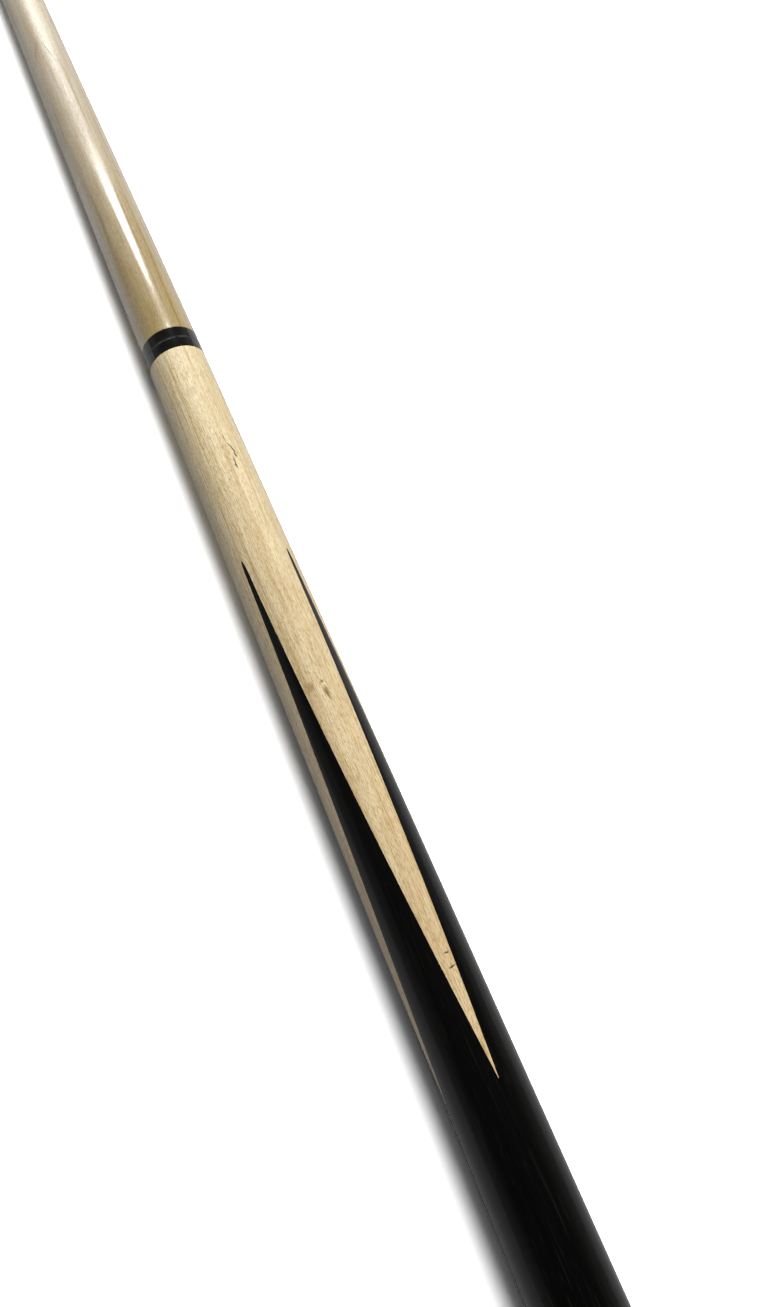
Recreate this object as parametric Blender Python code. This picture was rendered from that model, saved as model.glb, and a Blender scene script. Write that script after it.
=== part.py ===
"""Two-piece pool cue with a four-point full splice.

The cue lies along +X. The origin is the centre of the bumper's flat end face, the tip points along
+X and +Z is up. Butt pieces are measured from the bumper face and shaft pieces from the joint face.
Sizes are metres.
"""

import math

import bmesh
import bpy

MM = 0.001
INCH = 0.0254

# Fits
FIT_GAP = 0.3 * MM                 # clearance between two seated or glued faces

# Whole cue
BUTT_LENGTH = 29.0 * INCH          # bumper face to the plane of the joint
SHAFT_LENGTH = 29.0 * INCH         # plane of the joint to the crown of the tip
JOINT_DIAMETER = 0.840 * INCH
BUTT_END_DIAMETER = 31.4 * MM
FACETS = 24                        # flats round a turned piece, one of them facing down

# Bumper and its moulded-in stud
BUMPER_LENGTH = 12.0 * MM
BUMPER_FACE_DIAMETER = 25.0 * MM
BUMPER_BASE_DIAMETER = 27.4 * MM
BUMPER_EDGE_RADIUS = 3.0 * MM
BUMPER_NECK_DIAMETER = 17.0 * MM
STUD_DIAMETER = 6.35 * MM
STUD_HEAD_DIAMETER = 12.0 * MM
STUD_HEAD_THICKNESS = 2.4 * MM
STUD_COVER = 4.5 * MM              # rubber between the bumper face and the stud's head
STUD_GRIP = 15.0 * MM              # stud screwed into the weight bolt

# Butt cap and weight bolt
CAP_LENGTH = 25.4 * MM
CAP_WEB = 5.0 * MM
CAP_EDGE_RADIUS = 1.5 * MM
BOLT_DIAMETER = 12.7 * MM
BOLT_LENGTH = 3.0 * INCH
CAP_TENON_WALL = 3.2 * MM          # wood between the weight bolt and the cap

# Full splice
BLACK_TIPS_FROM_JOINT = 96.0 * MM
MAPLE_TIPS_FROM_JOINT = 280.0 * MM
SPLICE_BOW = 1.3                   # 1 is a straight slot floor, more is slower at the black tips
SPLICE_STEPS = 12
SPLICE_ROLL = math.radians(0.5)    # at the black tips, a maple point lies this far right of the top line
SPLICE_LEAN = math.radians(8.5)    # and it leans this much further right by its own tip
BLADE_THICKNESS = 1.3 * MM         # of the black blades behind their round nose
BLADE_NOSE = 6.0 * MM              # length of that nose
BLADE_EDGE = 0.2 * MM              # thickness left at the front edge of the nose
NOSE_STEPS = 4
FINGER_EDGE = 0.2 * MM             # height left at the end of the maple fingers
CUTTER_REACH = 6.0 * MM            # how far the splice cutters stand outside the wood

# Joint
COLLAR_LENGTH = 4.5 * MM
COLLAR_CHAMFER = 0.25 * MM
PIN_DIAMETER = 5.0 / 16.0 * INCH
PIN_EXPOSED = 1.0 * INCH
PIN_SET = 2.0 * INCH               # pin glued into the forearm
PIN_NOSE_LENGTH = 2.6 * MM
PIN_NOSE_DIAMETER = 5.6 * MM
INSERT_WALL = 1.1 * MM
INSERT_LENGTH = 28.0 * MM
TENON_WALL = 1.6 * MM              # wood between the insert and the collar

# Shaft and ferrule
SHAFT_TIP_DIAMETER = 13.0 * MM
SHAFT_STRAIGHT = 10.0 * INCH       # parallel length below the ferrule
SHAFT_JOINT_SLOPE = 0.0088         # fall of the radius with length just ahead of the joint
TAPER_STEPS = 16
FERRULE_LENGTH = 1.0 * INCH
FERRULE_TENON_DIAMETER = 8.7 * MM
FERRULE_TENON_LENGTH = 19.0 * MM
PAD_THICKNESS = 0.9 * MM
TIP_LENGTH = 6.0 * MM
TIP_CROWN_RADIUS = 10.6 * MM
ARC_STEPS = 6
SHARP_ANGLE = math.radians(30.0)

# Radii that follow from the sizes above
JOINT_RADIUS = JOINT_DIAMETER / 2
BUTT_END_RADIUS = BUTT_END_DIAMETER / 2
SHAFT_TIP_RADIUS = SHAFT_TIP_DIAMETER / 2
PIN_RADIUS = PIN_DIAMETER / 2
INSERT_BORE = PIN_RADIUS + FIT_GAP
INSERT_RADIUS = INSERT_BORE + INSERT_WALL
SHAFT_BORE = INSERT_RADIUS + FIT_GAP
TENON_RADIUS = SHAFT_BORE + TENON_WALL
COLLAR_BORE = TENON_RADIUS + FIT_GAP
STUD_RADIUS = STUD_DIAMETER / 2
STUD_BORE = STUD_RADIUS + FIT_GAP
BOLT_RADIUS = BOLT_DIAMETER / 2
BOLT_BORE = BOLT_RADIUS + FIT_GAP
CAP_TENON_RADIUS = BOLT_BORE + CAP_TENON_WALL
NECK_RADIUS = BUMPER_NECK_DIAMETER / 2
FERRULE_TENON_RADIUS = FERRULE_TENON_DIAMETER / 2

# Stations of the butt, from the bumper face
CAP_REAR = BUMPER_LENGTH + FIT_GAP
TENON_REAR = CAP_REAR + CAP_WEB + FIT_GAP
CAP_FRONT = CAP_REAR + CAP_LENGTH
BUTT_FACE = BUTT_LENGTH - FIT_GAP / 2
BLACK_TIPS = BUTT_LENGTH - BLACK_TIPS_FROM_JOINT
SPLICE_LENGTH = MAPLE_TIPS_FROM_JOINT - BLACK_TIPS_FROM_JOINT

# Stations of the shaft, from the joint
SHAFT_FACE = FIT_GAP / 2
TIP_BASE = SHAFT_LENGTH - TIP_LENGTH
PAD_BASE = TIP_BASE - FIT_GAP - PAD_THICKNESS
FERRULE_FRONT = PAD_BASE - FIT_GAP
FERRULE_BASE = FERRULE_FRONT - FERRULE_LENGTH
STRAIGHT_BASE = FERRULE_BASE - SHAFT_STRAIGHT


def butt_radius(x):
    """Radius of the butt's straight taper at x from the bumper face."""
    share = (x - CAP_REAR) / (BUTT_LENGTH - CAP_REAR)
    return BUTT_END_RADIUS + (JOINT_RADIUS - BUTT_END_RADIUS) * share


def shaft_radius(x):
    """Radius of the shaft at x from the joint: a falling curve that runs out into a parallel."""
    t = min(x / STRAIGHT_BASE, 1.0)
    start = 2 * t**3 - 3 * t**2 + 1
    lean = t**3 - 2 * t**2 + t
    fall = lean * STRAIGHT_BASE * SHAFT_JOINT_SLOPE
    return start * JOINT_RADIUS + (1 - start) * SHAFT_TIP_RADIUS - fall


def splice_station(share):
    """Position of a share of the splice, 0 at the black tips and 1 at the maple tips."""
    return BLACK_TIPS - share * SPLICE_LENGTH


def splice_roll(x):
    """Turn of the splice's cross at x, which stays the same in front of the splice and behind it."""
    share = (BLACK_TIPS - x) / SPLICE_LENGTH
    return SPLICE_ROLL + SPLICE_LEAN * min(max(share, 0.0), 1.0)


def blade_half(share):
    """Half the thickness of the black blades at a share of the splice."""
    front = BLADE_THICKNESS / 2
    rear = butt_radius(splice_station(1.0)) / math.sqrt(2)
    from_nose = max(1 - share * SPLICE_LENGTH / BLADE_NOSE, 0.0)
    return (front + (rear - front) * share**SPLICE_BOW) * math.sqrt(1 - from_nose**2)


def finger_end_share():
    """Share of the splice at which the maple fingers are down to their end height."""
    low, high = 0.0, 1.0
    for _ in range(50):
        share = (low + high) / 2
        ridge = math.sqrt(2) * (blade_half(share) + FIT_GAP)
        if butt_radius(splice_station(share)) - ridge > FINGER_EDGE:
            low = share
        else:
            high = share
    return low


def splice_shares():
    """Shares of the splice at which its sections lie, closer together along the blades' noses."""
    start = math.asin(BLADE_EDGE / BLADE_THICKNESS)
    nose = BLADE_NOSE / SPLICE_LENGTH
    last = finger_end_share()
    shares = []
    for step in range(NOSE_STEPS):
        angle = start + (math.pi / 2 - start) * step / NOSE_STEPS
        shares.append(nose * (1 - math.cos(angle)))
    return shares + [nose + (last - nose) * step / SPLICE_STEPS for step in range(SPLICE_STEPS + 1)]


def arc(centre_x, centre_r, radius, start, end):
    """Points of a round in the turning plane, from one angle to another in degrees off +X."""
    points = []
    for step in range(ARC_STEPS + 1):
        angle = math.radians(start + (end - start) * step / ARC_STEPS)
        points.append((centre_x + radius * math.cos(angle), centre_r + radius * math.sin(angle)))
    return points


def make_material(name, colour, roughness, metallic=0.0):
    """One Principled material."""
    material = bpy.data.materials.new(name)
    material.use_nodes = True
    shader = material.node_tree.nodes["Principled BSDF"]
    shader.inputs["Base Color"].default_value = (*colour, 1.0)
    shader.inputs["Roughness"].default_value = roughness
    shader.inputs["Metallic"].default_value = metallic
    material.diffuse_color = (*colour, 1.0)
    return material


def add_object(name, mesh_builder, material, parent):
    """Turn a finished bmesh into a named object that hangs on its half of the cue."""
    mesh = bpy.data.meshes.new(name)
    bmesh.ops.recalc_face_normals(mesh_builder, faces=mesh_builder.faces)
    mesh_builder.to_mesh(mesh)
    mesh_builder.free()
    mesh.shade_smooth()
    mesh.set_sharp_from_angle(angle=SHARP_ANGLE)
    mesh.materials.append(material)
    piece = bpy.data.objects.new(name, mesh)
    piece.parent = parent
    bpy.context.collection.objects.link(piece)
    return piece


def turn(name, outline, material, parent, ring=False):
    """Turn an outline of (x, radius) points about the cue's axis.

    An outline starts and ends on the axis, and a ring's outline closes on itself.
    """
    bm = bmesh.new()
    half_flat = math.pi / FACETS
    verts = []
    for x, radius in outline:
        verts.append(bm.verts.new((x, radius * math.sin(half_flat), -radius * math.cos(half_flat))))
    edges = [bm.edges.new(pair) for pair in zip(verts, verts[1:])]
    if ring:
        edges.append(bm.edges.new((verts[-1], verts[0])))
    bmesh.ops.spin(
        bm, geom=verts + edges, cent=(0, 0, 0), axis=(1, 0, 0), angle=math.tau, steps=FACETS, use_merge=True
    )
    bmesh.ops.remove_doubles(bm, verts=bm.verts, dist=0.001 * MM)
    return add_object(name, bm, material, parent)


def cross_section(x, half, reach):
    """Corners of the cross of four arms at x: half is half an arm's width, reach its length."""
    corners = []
    for quarter in range(4):
        turn_angle = quarter * math.pi / 2 + math.pi / 4 + splice_roll(x)
        for along, across in ((reach, -half), (reach, half), (half, half)):
            right = along * math.sin(turn_angle) + across * math.cos(turn_angle)
            up = along * math.cos(turn_angle) - across * math.sin(turn_angle)
            corners.append((-right, up))
    return corners


def cross_loft(name, stations, reach, material, parent):
    """Loft crosses through (x, half arm width) stations, as a cutter."""
    bm = bmesh.new()
    rings = []
    for x, half in stations:
        rings.append([bm.verts.new((x, y, z)) for y, z in cross_section(x, half, reach)])
    count = len(rings[0])
    for near, far in zip(rings, rings[1:]):
        for corner in range(count):
            following = (corner + 1) % count
            bm.faces.new((near[corner], near[following], far[following], far[corner]))
    for ring in (rings[0], rings[-1]):
        bm.faces.new(ring[2::3])
        for corner in range(0, count, 3):
            bm.faces.new((ring[corner - 1], ring[corner], ring[corner + 1], ring[corner + 2]))
    cutter = add_object(name, bm, material, parent)
    cutter.hide_render = True
    cutter.display_type = "WIRE"
    return cutter


def cut(piece, cutter, operation):
    """Add a Boolean of a piece with a cutter."""
    boolean = piece.modifiers.new(cutter.name, "BOOLEAN")
    boolean.operation = operation
    boolean.solver = "EXACT"
    boolean.object = cutter


def splice_cutters(material, parent):
    """The cross that shapes the handle's blades, and the wider one that slots the forearm."""
    reach = BUTT_END_RADIUS + CUTTER_REACH
    blades = [(splice_station(share), blade_half(share)) for share in splice_shares()]
    slots = [(x, half + FIT_GAP) for x, half in blades]
    front, front_half = blades[0]
    rear, rear_half = blades.pop()
    full = reach - FIT_GAP
    blades.insert(0, (front + CUTTER_REACH, front_half))
    blades += [(rear - FIT_GAP, rear_half), (rear - FIT_GAP, full), (-CUTTER_REACH, full)]
    slots[0] = (front + FIT_GAP, slots[0][1])
    slots.append((rear - CUTTER_REACH, slots[-1][1] + CUTTER_REACH * (slots[-1][1] - slots[-2][1])
                  / (slots[-2][0] - slots[-1][0])))
    guide = cross_loft("splice_blade_guide", blades, reach, material, parent)
    slot = cross_loft("splice_slot_cutter", slots, reach, material, parent)
    return guide, slot


def build_butt_end(parent):
    """Rubber bumper with its stud, the butt cap and the weight bolt."""
    rubber = make_material("bumper_rubber", (0.018, 0.018, 0.018), 0.75)
    steel = make_material("plated_steel", (0.55, 0.55, 0.54), 0.35, 1.0)
    phenolic = make_material("cap_resin", (0.010, 0.010, 0.010), 0.18)
    bolt_steel = make_material("bolt_steel", (0.32, 0.32, 0.33), 0.45, 1.0)

    face = BUMPER_FACE_DIAMETER / 2
    base = BUMPER_BASE_DIAMETER / 2
    neck_front = CAP_REAR + CAP_WEB
    head_rear = STUD_COVER
    head_front = head_rear + STUD_HEAD_THICKNESS
    head_radius = STUD_HEAD_DIAMETER / 2
    outline = [(0.0, 0.0)]
    outline += arc(BUMPER_EDGE_RADIUS, face - BUMPER_EDGE_RADIUS, BUMPER_EDGE_RADIUS, 180, 90)
    outline += [(BUMPER_LENGTH, base), (BUMPER_LENGTH, NECK_RADIUS)]
    outline += [(neck_front, NECK_RADIUS), (neck_front, STUD_BORE)]
    outline += [(head_front + FIT_GAP, STUD_BORE), (head_front + FIT_GAP, head_radius + FIT_GAP)]
    outline += [(head_rear - FIT_GAP, head_radius + FIT_GAP), (head_rear - FIT_GAP, 0.0)]
    turn("bumper", outline, rubber, parent)

    stud_front = TENON_REAR + STUD_GRIP
    outline = [(head_rear, 0.0), (head_rear, head_radius), (head_front, head_radius)]
    outline += [(head_front, STUD_RADIUS), (stud_front, STUD_RADIUS), (stud_front, 0.0)]
    turn("bumper_stud", outline, steel, parent)

    rear_radius = butt_radius(CAP_REAR)
    cap_bore = CAP_TENON_RADIUS + FIT_GAP
    outline = [(CAP_REAR, NECK_RADIUS + FIT_GAP)]
    edge_x = CAP_REAR + CAP_EDGE_RADIUS
    outline += arc(edge_x, rear_radius - CAP_EDGE_RADIUS, CAP_EDGE_RADIUS, 180, 90)
    outline += [(CAP_FRONT, butt_radius(CAP_FRONT)), (CAP_FRONT, cap_bore)]
    outline += [(CAP_REAR + CAP_WEB, cap_bore), (CAP_REAR + CAP_WEB, NECK_RADIUS + FIT_GAP)]
    turn("butt_cap", outline, phenolic, parent, ring=True)

    socket = TENON_REAR + STUD_GRIP + FIT_GAP
    bolt_front = TENON_REAR + BOLT_LENGTH
    outline = [(socket, 0.0), (socket, STUD_BORE), (TENON_REAR, STUD_BORE)]
    outline += [(TENON_REAR, BOLT_RADIUS), (bolt_front, BOLT_RADIUS), (bolt_front, 0.0)]
    turn("weight_bolt", outline, bolt_steel, parent)


def build_splice(parent):
    """Black handle with four blades and maple forearm with four fingers, locked together."""
    ebony = make_material("black_hardwood", (0.006, 0.006, 0.007), 0.15)
    maple = make_material("forearm_maple", (0.64, 0.51, 0.33), 0.25)
    guide, slot = splice_cutters(ebony, parent)

    shoulder = CAP_FRONT + FIT_GAP
    bore_end = TENON_REAR + BOLT_LENGTH + FIT_GAP
    front = splice_station(splice_shares()[0])
    outline = [(bore_end, 0.0), (bore_end, BOLT_BORE), (TENON_REAR, BOLT_BORE)]
    outline += [(TENON_REAR, CAP_TENON_RADIUS), (shoulder, CAP_TENON_RADIUS)]
    outline += [(shoulder, butt_radius(shoulder)), (front, butt_radius(front)), (front, 0.0)]
    handle = turn("handle", outline, ebony, parent)
    cut(handle, guide, "INTERSECT")

    finger_end = splice_station(splice_shares()[-1])
    tenon_base = BUTT_FACE - COLLAR_LENGTH - FIT_GAP
    bore = PIN_RADIUS + FIT_GAP
    bore_end = BUTT_LENGTH - PIN_SET - FIT_GAP
    outline = [(finger_end, 0.0), (finger_end, butt_radius(finger_end))]
    outline += [(tenon_base, butt_radius(tenon_base)), (tenon_base, TENON_RADIUS)]
    outline += [(BUTT_FACE, TENON_RADIUS), (BUTT_FACE, bore), (bore_end, bore), (bore_end, 0.0)]
    forearm = turn("forearm", outline, maple, parent)
    cut(forearm, slot, "DIFFERENCE")


def collar_outline(face, shoulder, radius_at):
    """Outline of a joint collar between its joint face and its wood shoulder."""
    inward = COLLAR_CHAMFER if shoulder > face else -COLLAR_CHAMFER
    edge = face + inward
    outline = [(face, COLLAR_BORE), (face, radius_at(face) - COLLAR_CHAMFER), (edge, radius_at(edge))]
    return outline + [(shoulder, radius_at(shoulder)), (shoulder, COLLAR_BORE)]


def build_joint(butt, shaft):
    """Collars on both faces, the threaded pin and the insert that runs on it."""
    collar_black = make_material("collar_resin", (0.012, 0.012, 0.013), 0.22)
    stainless = make_material("stainless_pin", (0.62, 0.61, 0.59), 0.28, 1.0)
    brass = make_material("insert_brass", (0.72, 0.52, 0.22), 0.32, 1.0)

    outline = collar_outline(BUTT_FACE, BUTT_FACE - COLLAR_LENGTH, butt_radius)
    turn("butt_collar", outline, collar_black, butt, ring=True)
    outline = collar_outline(SHAFT_FACE, SHAFT_FACE + COLLAR_LENGTH, shaft_radius)
    turn("shaft_collar", outline, collar_black.copy(), shaft, ring=True)

    rear = BUTT_LENGTH - PIN_SET
    front = BUTT_LENGTH + PIN_EXPOSED
    outline = [(rear, 0.0), (rear, PIN_RADIUS), (front - PIN_NOSE_LENGTH, PIN_RADIUS)]
    outline += [(front, PIN_NOSE_DIAMETER / 2), (front, 0.0)]
    turn("joint_pin", outline, stainless, butt)

    end = SHAFT_FACE + INSERT_LENGTH
    outline = [(SHAFT_FACE, INSERT_BORE), (SHAFT_FACE, INSERT_RADIUS)]
    outline += [(end, INSERT_RADIUS), (end, INSERT_BORE)]
    turn("shaft_insert", outline, brass, shaft, ring=True)


def build_shaft(parent):
    """Maple shaft, ferrule, fibre pad and leather tip."""
    maple = make_material("shaft_maple", (0.62, 0.50, 0.34), 0.25)
    ivory = make_material("ferrule_resin", (0.82, 0.80, 0.74), 0.28)
    fibre = make_material("pad_fibre", (0.03, 0.03, 0.03), 0.60)
    leather = make_material("tip_leather", (0.16, 0.22, 0.32), 0.85)

    bore_end = SHAFT_FACE + INSERT_LENGTH + FIT_GAP
    shoulder = SHAFT_FACE + COLLAR_LENGTH + FIT_GAP
    front = FERRULE_BASE - FIT_GAP
    tenon_end = FERRULE_BASE + FERRULE_TENON_LENGTH
    outline = [(bore_end, 0.0), (bore_end, SHAFT_BORE), (SHAFT_FACE, SHAFT_BORE)]
    outline += [(SHAFT_FACE, TENON_RADIUS), (shoulder, TENON_RADIUS)]
    for step in range(TAPER_STEPS + 1):
        x = shoulder + (STRAIGHT_BASE - shoulder) * step / TAPER_STEPS
        outline.append((x, shaft_radius(x)))
    outline += [(front, shaft_radius(front)), (front, FERRULE_TENON_RADIUS)]
    outline += [(tenon_end, FERRULE_TENON_RADIUS), (tenon_end, 0.0)]
    turn("shaft", outline, maple, parent)

    bore = FERRULE_TENON_RADIUS + FIT_GAP
    bore_end = tenon_end + FIT_GAP
    outline = [(bore_end, 0.0), (bore_end, bore), (FERRULE_BASE, bore)]
    outline += [(FERRULE_BASE, SHAFT_TIP_RADIUS), (FERRULE_FRONT, SHAFT_TIP_RADIUS), (FERRULE_FRONT, 0.0)]
    turn("ferrule", outline, ivory, parent)

    pad_front = PAD_BASE + PAD_THICKNESS
    outline = [(PAD_BASE, 0.0), (PAD_BASE, SHAFT_TIP_RADIUS)]
    outline += [(pad_front, SHAFT_TIP_RADIUS), (pad_front, 0.0)]
    turn("tip_pad", outline, fibre, parent)

    crown_centre = SHAFT_LENGTH - TIP_CROWN_RADIUS
    crown_edge = math.degrees(math.asin(SHAFT_TIP_RADIUS / TIP_CROWN_RADIUS))
    crown = arc(crown_centre, 0.0, TIP_CROWN_RADIUS, crown_edge, 0.0)
    outline = [(TIP_BASE, 0.0), (TIP_BASE, SHAFT_TIP_RADIUS)] + crown[:-1] + [(SHAFT_LENGTH, 0.0)]
    turn("tip", outline, leather, parent)


def add_axis(name, x):
    """Empty on the cue's axis that carries one half."""
    axis = bpy.data.objects.new(name, None)
    axis.location = (x, 0.0, 0.0)
    bpy.context.collection.objects.link(axis)
    return axis


def main():
    """Clear the scene and build both halves of the cue."""
    for old in list(bpy.data.objects):
        bpy.data.objects.remove(old, do_unlink=True)
    butt = add_axis("butt_axis", 0.0)
    shaft = add_axis("shaft_axis", BUTT_LENGTH)
    build_butt_end(butt)
    build_splice(butt)
    build_joint(butt, shaft)
    build_shaft(shaft)


main()
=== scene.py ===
"""Looks of a two-piece pool cue with a four-point full splice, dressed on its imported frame.

The cue lies along +X from the bumper to the tip, with +Z up. Every piece is made in place and rides on
the body of the node that it stands for. Sizes are in metres, and those of patterns in millimetres.
"""

import logging
import math
from collections.abc import Mapping, Sequence
from dataclasses import dataclass, field, replace
from enum import Enum

import bmesh
import bpy
from mathutils import Euler, Matrix, Vector


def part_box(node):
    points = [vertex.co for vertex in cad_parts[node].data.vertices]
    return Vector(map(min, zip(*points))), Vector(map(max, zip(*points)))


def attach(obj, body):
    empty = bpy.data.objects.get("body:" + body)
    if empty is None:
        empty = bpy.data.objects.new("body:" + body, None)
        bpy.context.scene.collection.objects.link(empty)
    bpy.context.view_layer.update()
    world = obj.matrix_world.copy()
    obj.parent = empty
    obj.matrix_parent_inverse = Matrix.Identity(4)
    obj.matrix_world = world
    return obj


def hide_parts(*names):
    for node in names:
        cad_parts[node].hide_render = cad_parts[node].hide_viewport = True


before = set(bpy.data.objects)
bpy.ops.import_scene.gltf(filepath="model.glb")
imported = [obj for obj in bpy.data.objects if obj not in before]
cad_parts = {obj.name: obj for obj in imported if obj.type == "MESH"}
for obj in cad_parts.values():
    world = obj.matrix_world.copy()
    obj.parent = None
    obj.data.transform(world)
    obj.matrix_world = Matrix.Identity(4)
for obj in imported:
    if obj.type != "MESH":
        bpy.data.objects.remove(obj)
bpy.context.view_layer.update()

LOG = logging.getLogger("pool_cue")
MM = 0.001
INCH = 0.0254
POINTS = 4  # points of black and of maple in the splice
QUARTER = math.tau / POINTS
SOLID_FLATS = 24  # flats round a turned node of the frame
ROUND_FLATS = 96  # flats round a finished piece
THREAD_FLATS = 48  # flats round a threaded one
SEAM = 0.03 * MM  # hairline left where two finished pieces meet
FIT = 0.3 * MM  # clearance of hidden fits
WELD = 0.0005 * MM  # points closer than this are one point
SHARP = math.radians(32.0)  # edges that turn further than this stay crisp
TENON_RADIUS = 7.269 * MM  # tenons of the forearm and the shaft inside their collars
MATH = "ShaderNodeMath"
MAP_RANGE = "ShaderNodeMapRange"
Tree = bpy.types.NodeTree
Node = bpy.types.Node
Point = tuple[float, float]
Colour = tuple[float, float, float, float]


def linear(code: str) -> Colour:
    """Turn an sRGB hex value into a linear colour.

    Args:
        code: Six hex digits.

    Returns:
        Red, green, blue and a full alpha.
    """
    parts = [int(code[place:place + 2], 16) / 255 for place in (0, 2, 4)]
    bright = [part / 12.92 if part <= 0.04045 else ((part + 0.055) / 1.055) ** 2.4 for part in parts]
    return (*bright, 1.0)


def add_node(
    tree: Tree, kind: str, links: Mapping[str, object] | Sequence[object] = (), **settings: object
) -> Node:
    """Add a node with its settings, and give its inputs what they take.

    Args:
        tree: Tree that gets the node.
        kind: Blender's name of the node type.
        links: A node, socket, pattern or value for each input, in the order of the inputs or by name.
        **settings: Properties of the node itself.

    Returns:
        The new node.
    """
    node = tree.nodes.new(kind)
    for name, value in settings.items():
        setattr(node, name, value)
    given = links if isinstance(links, Mapping) else dict(enumerate(links))
    for key, value in given.items():
        sockets = [socket for socket in node.inputs if socket.enabled]
        socket = sockets[key] if isinstance(key, int) else next(s for s in sockets if s.name == key)
        if isinstance(value, Pattern):
            value = value.mask(tree)
        if isinstance(value, bpy.types.Node):
            value = next(output for output in value.outputs if output.enabled)
        if isinstance(value, bpy.types.NodeSocket):
            tree.links.new(value, socket)
        else:
            socket.default_value = value
    return node


# Patterns

class Pattern:
    """Pattern that lies in or on a material, placed by the piece's own coordinates."""

    def mask(self, tree: Tree) -> Node:
        """Add the pattern to a material.

        Args:
            tree: The material's tree.

        Returns:
            A node that gives the pattern's strength inside it and none of it outside.
        """
        raise NotImplementedError


@dataclass(frozen=True)
class Streaks(Pattern):
    """Noise drawn out along the cue, as fibres, flecks, pores and clouds are in wood."""

    length: float  # of one streak along the cue, in millimetres
    width: float  # of one streak across it, in millimetres
    low: float  # level of the noise where a streak starts
    high: float  # level of the noise where it is full
    strength: float = 1.0  # value where it is full
    detail: float = 2.0  # octaves of noise
    shift: float = 0.0  # moves the pattern to another part of the noise
    ground: float = 0.0  # value between the streaks

    def mask(self, tree: Tree) -> Node:
        """Add the streaks to a material.

        Args:
            tree: The material's tree.

        Returns:
            A node that gives the ground between the streaks and the strength inside them.
        """
        place = add_node(tree, "ShaderNodeTexCoord").outputs["Object"]
        across = 1 / (self.width * MM)
        drawn = add_node(tree, "ShaderNodeMapping", {
            "Vector": place, "Location": (self.shift,) * 3,
            "Scale": (1 / (self.length * MM), across, across),
        })
        noise = add_node(tree, "ShaderNodeTexNoise", {"Vector": drawn, "Scale": 1.0, "Detail": self.detail})
        return add_node(tree, MAP_RANGE, {
            "Value": noise, "From Min": self.low, "From Max": self.high,
            "To Min": self.ground, "To Max": self.strength,
        })


@dataclass(frozen=True)
class Stretch(Pattern):
    """Slow change along the cue, from one place to another."""

    start: float  # place where it starts
    end: float  # place where it is full
    low: float = 0.0  # value before it
    high: float = 1.0  # value past it

    def mask(self, tree: Tree) -> Node:
        """Add the change to a material.

        Args:
            tree: The material's tree.

        Returns:
            A node that gives the low value before the stretch and the high value past it.
        """
        place = add_node(tree, "ShaderNodeTexCoord").outputs["Object"]
        along = add_node(tree, "ShaderNodeSeparateXYZ", {"Vector": place}).outputs["X"]
        return add_node(tree, MAP_RANGE, (along, self.start, self.end, self.low, self.high))


@dataclass(frozen=True)
class GrowthRings(Pattern):
    """Year rings as nearly flat sheets through the wood, which show as long lines and arches."""

    spacing: float  # between rings, in millimetres
    azimuth: float  # direction that the sheets face, in degrees right of the top line
    runout: float  # rise of the sheets along the cue, as a slope
    wander: float  # waviness of the sheets, in rings
    strength: float  # share of the ring's colour in a dark ring
    shift: float  # moves the waves and gaps to another part of the noise
    wave: Point = (110.0, 7.0)  # length and width of one wave, in millimetres
    gap: Point = (45.0, 2.0)  # length and width of a gap in a ring, in millimetres
    line: Point = (0.28, 0.02)  # where a dark ring starts and is full, in rings from its middle

    def mask(self, tree: Tree) -> Node:
        """Add the rings to a material.

        Args:
            tree: The material's tree.

        Returns:
            A node that gives the strength in the dark rings and 0 in the pale ones.
        """
        place = add_node(tree, "ShaderNodeTexCoord").outputs["Object"]
        turn = math.radians(self.azimuth)
        facing = Vector((self.runout, -math.sin(turn), math.cos(turn))) / (self.spacing * MM)
        sheet = add_node(tree, "ShaderNodeVectorMath", (place, facing), operation="DOT_PRODUCT")
        waves = Streaks(*self.wave, low=0.2, high=0.8, strength=self.wander, detail=1.0, shift=self.shift)
        wavy = add_node(tree, MATH, (sheet, waves), operation="ADD")
        away = add_node(tree, MATH, (wavy, 0.5), operation="PINGPONG")
        lines = add_node(
            tree, MAP_RANGE, (away, *self.line, 0.0, self.strength), interpolation_type="SMOOTHSTEP"
        )
        whole = Streaks(*self.gap, low=0.35, high=0.65, shift=self.shift + 3.0)
        return add_node(tree, MATH, (lines, whole), operation="MULTIPLY")


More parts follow.
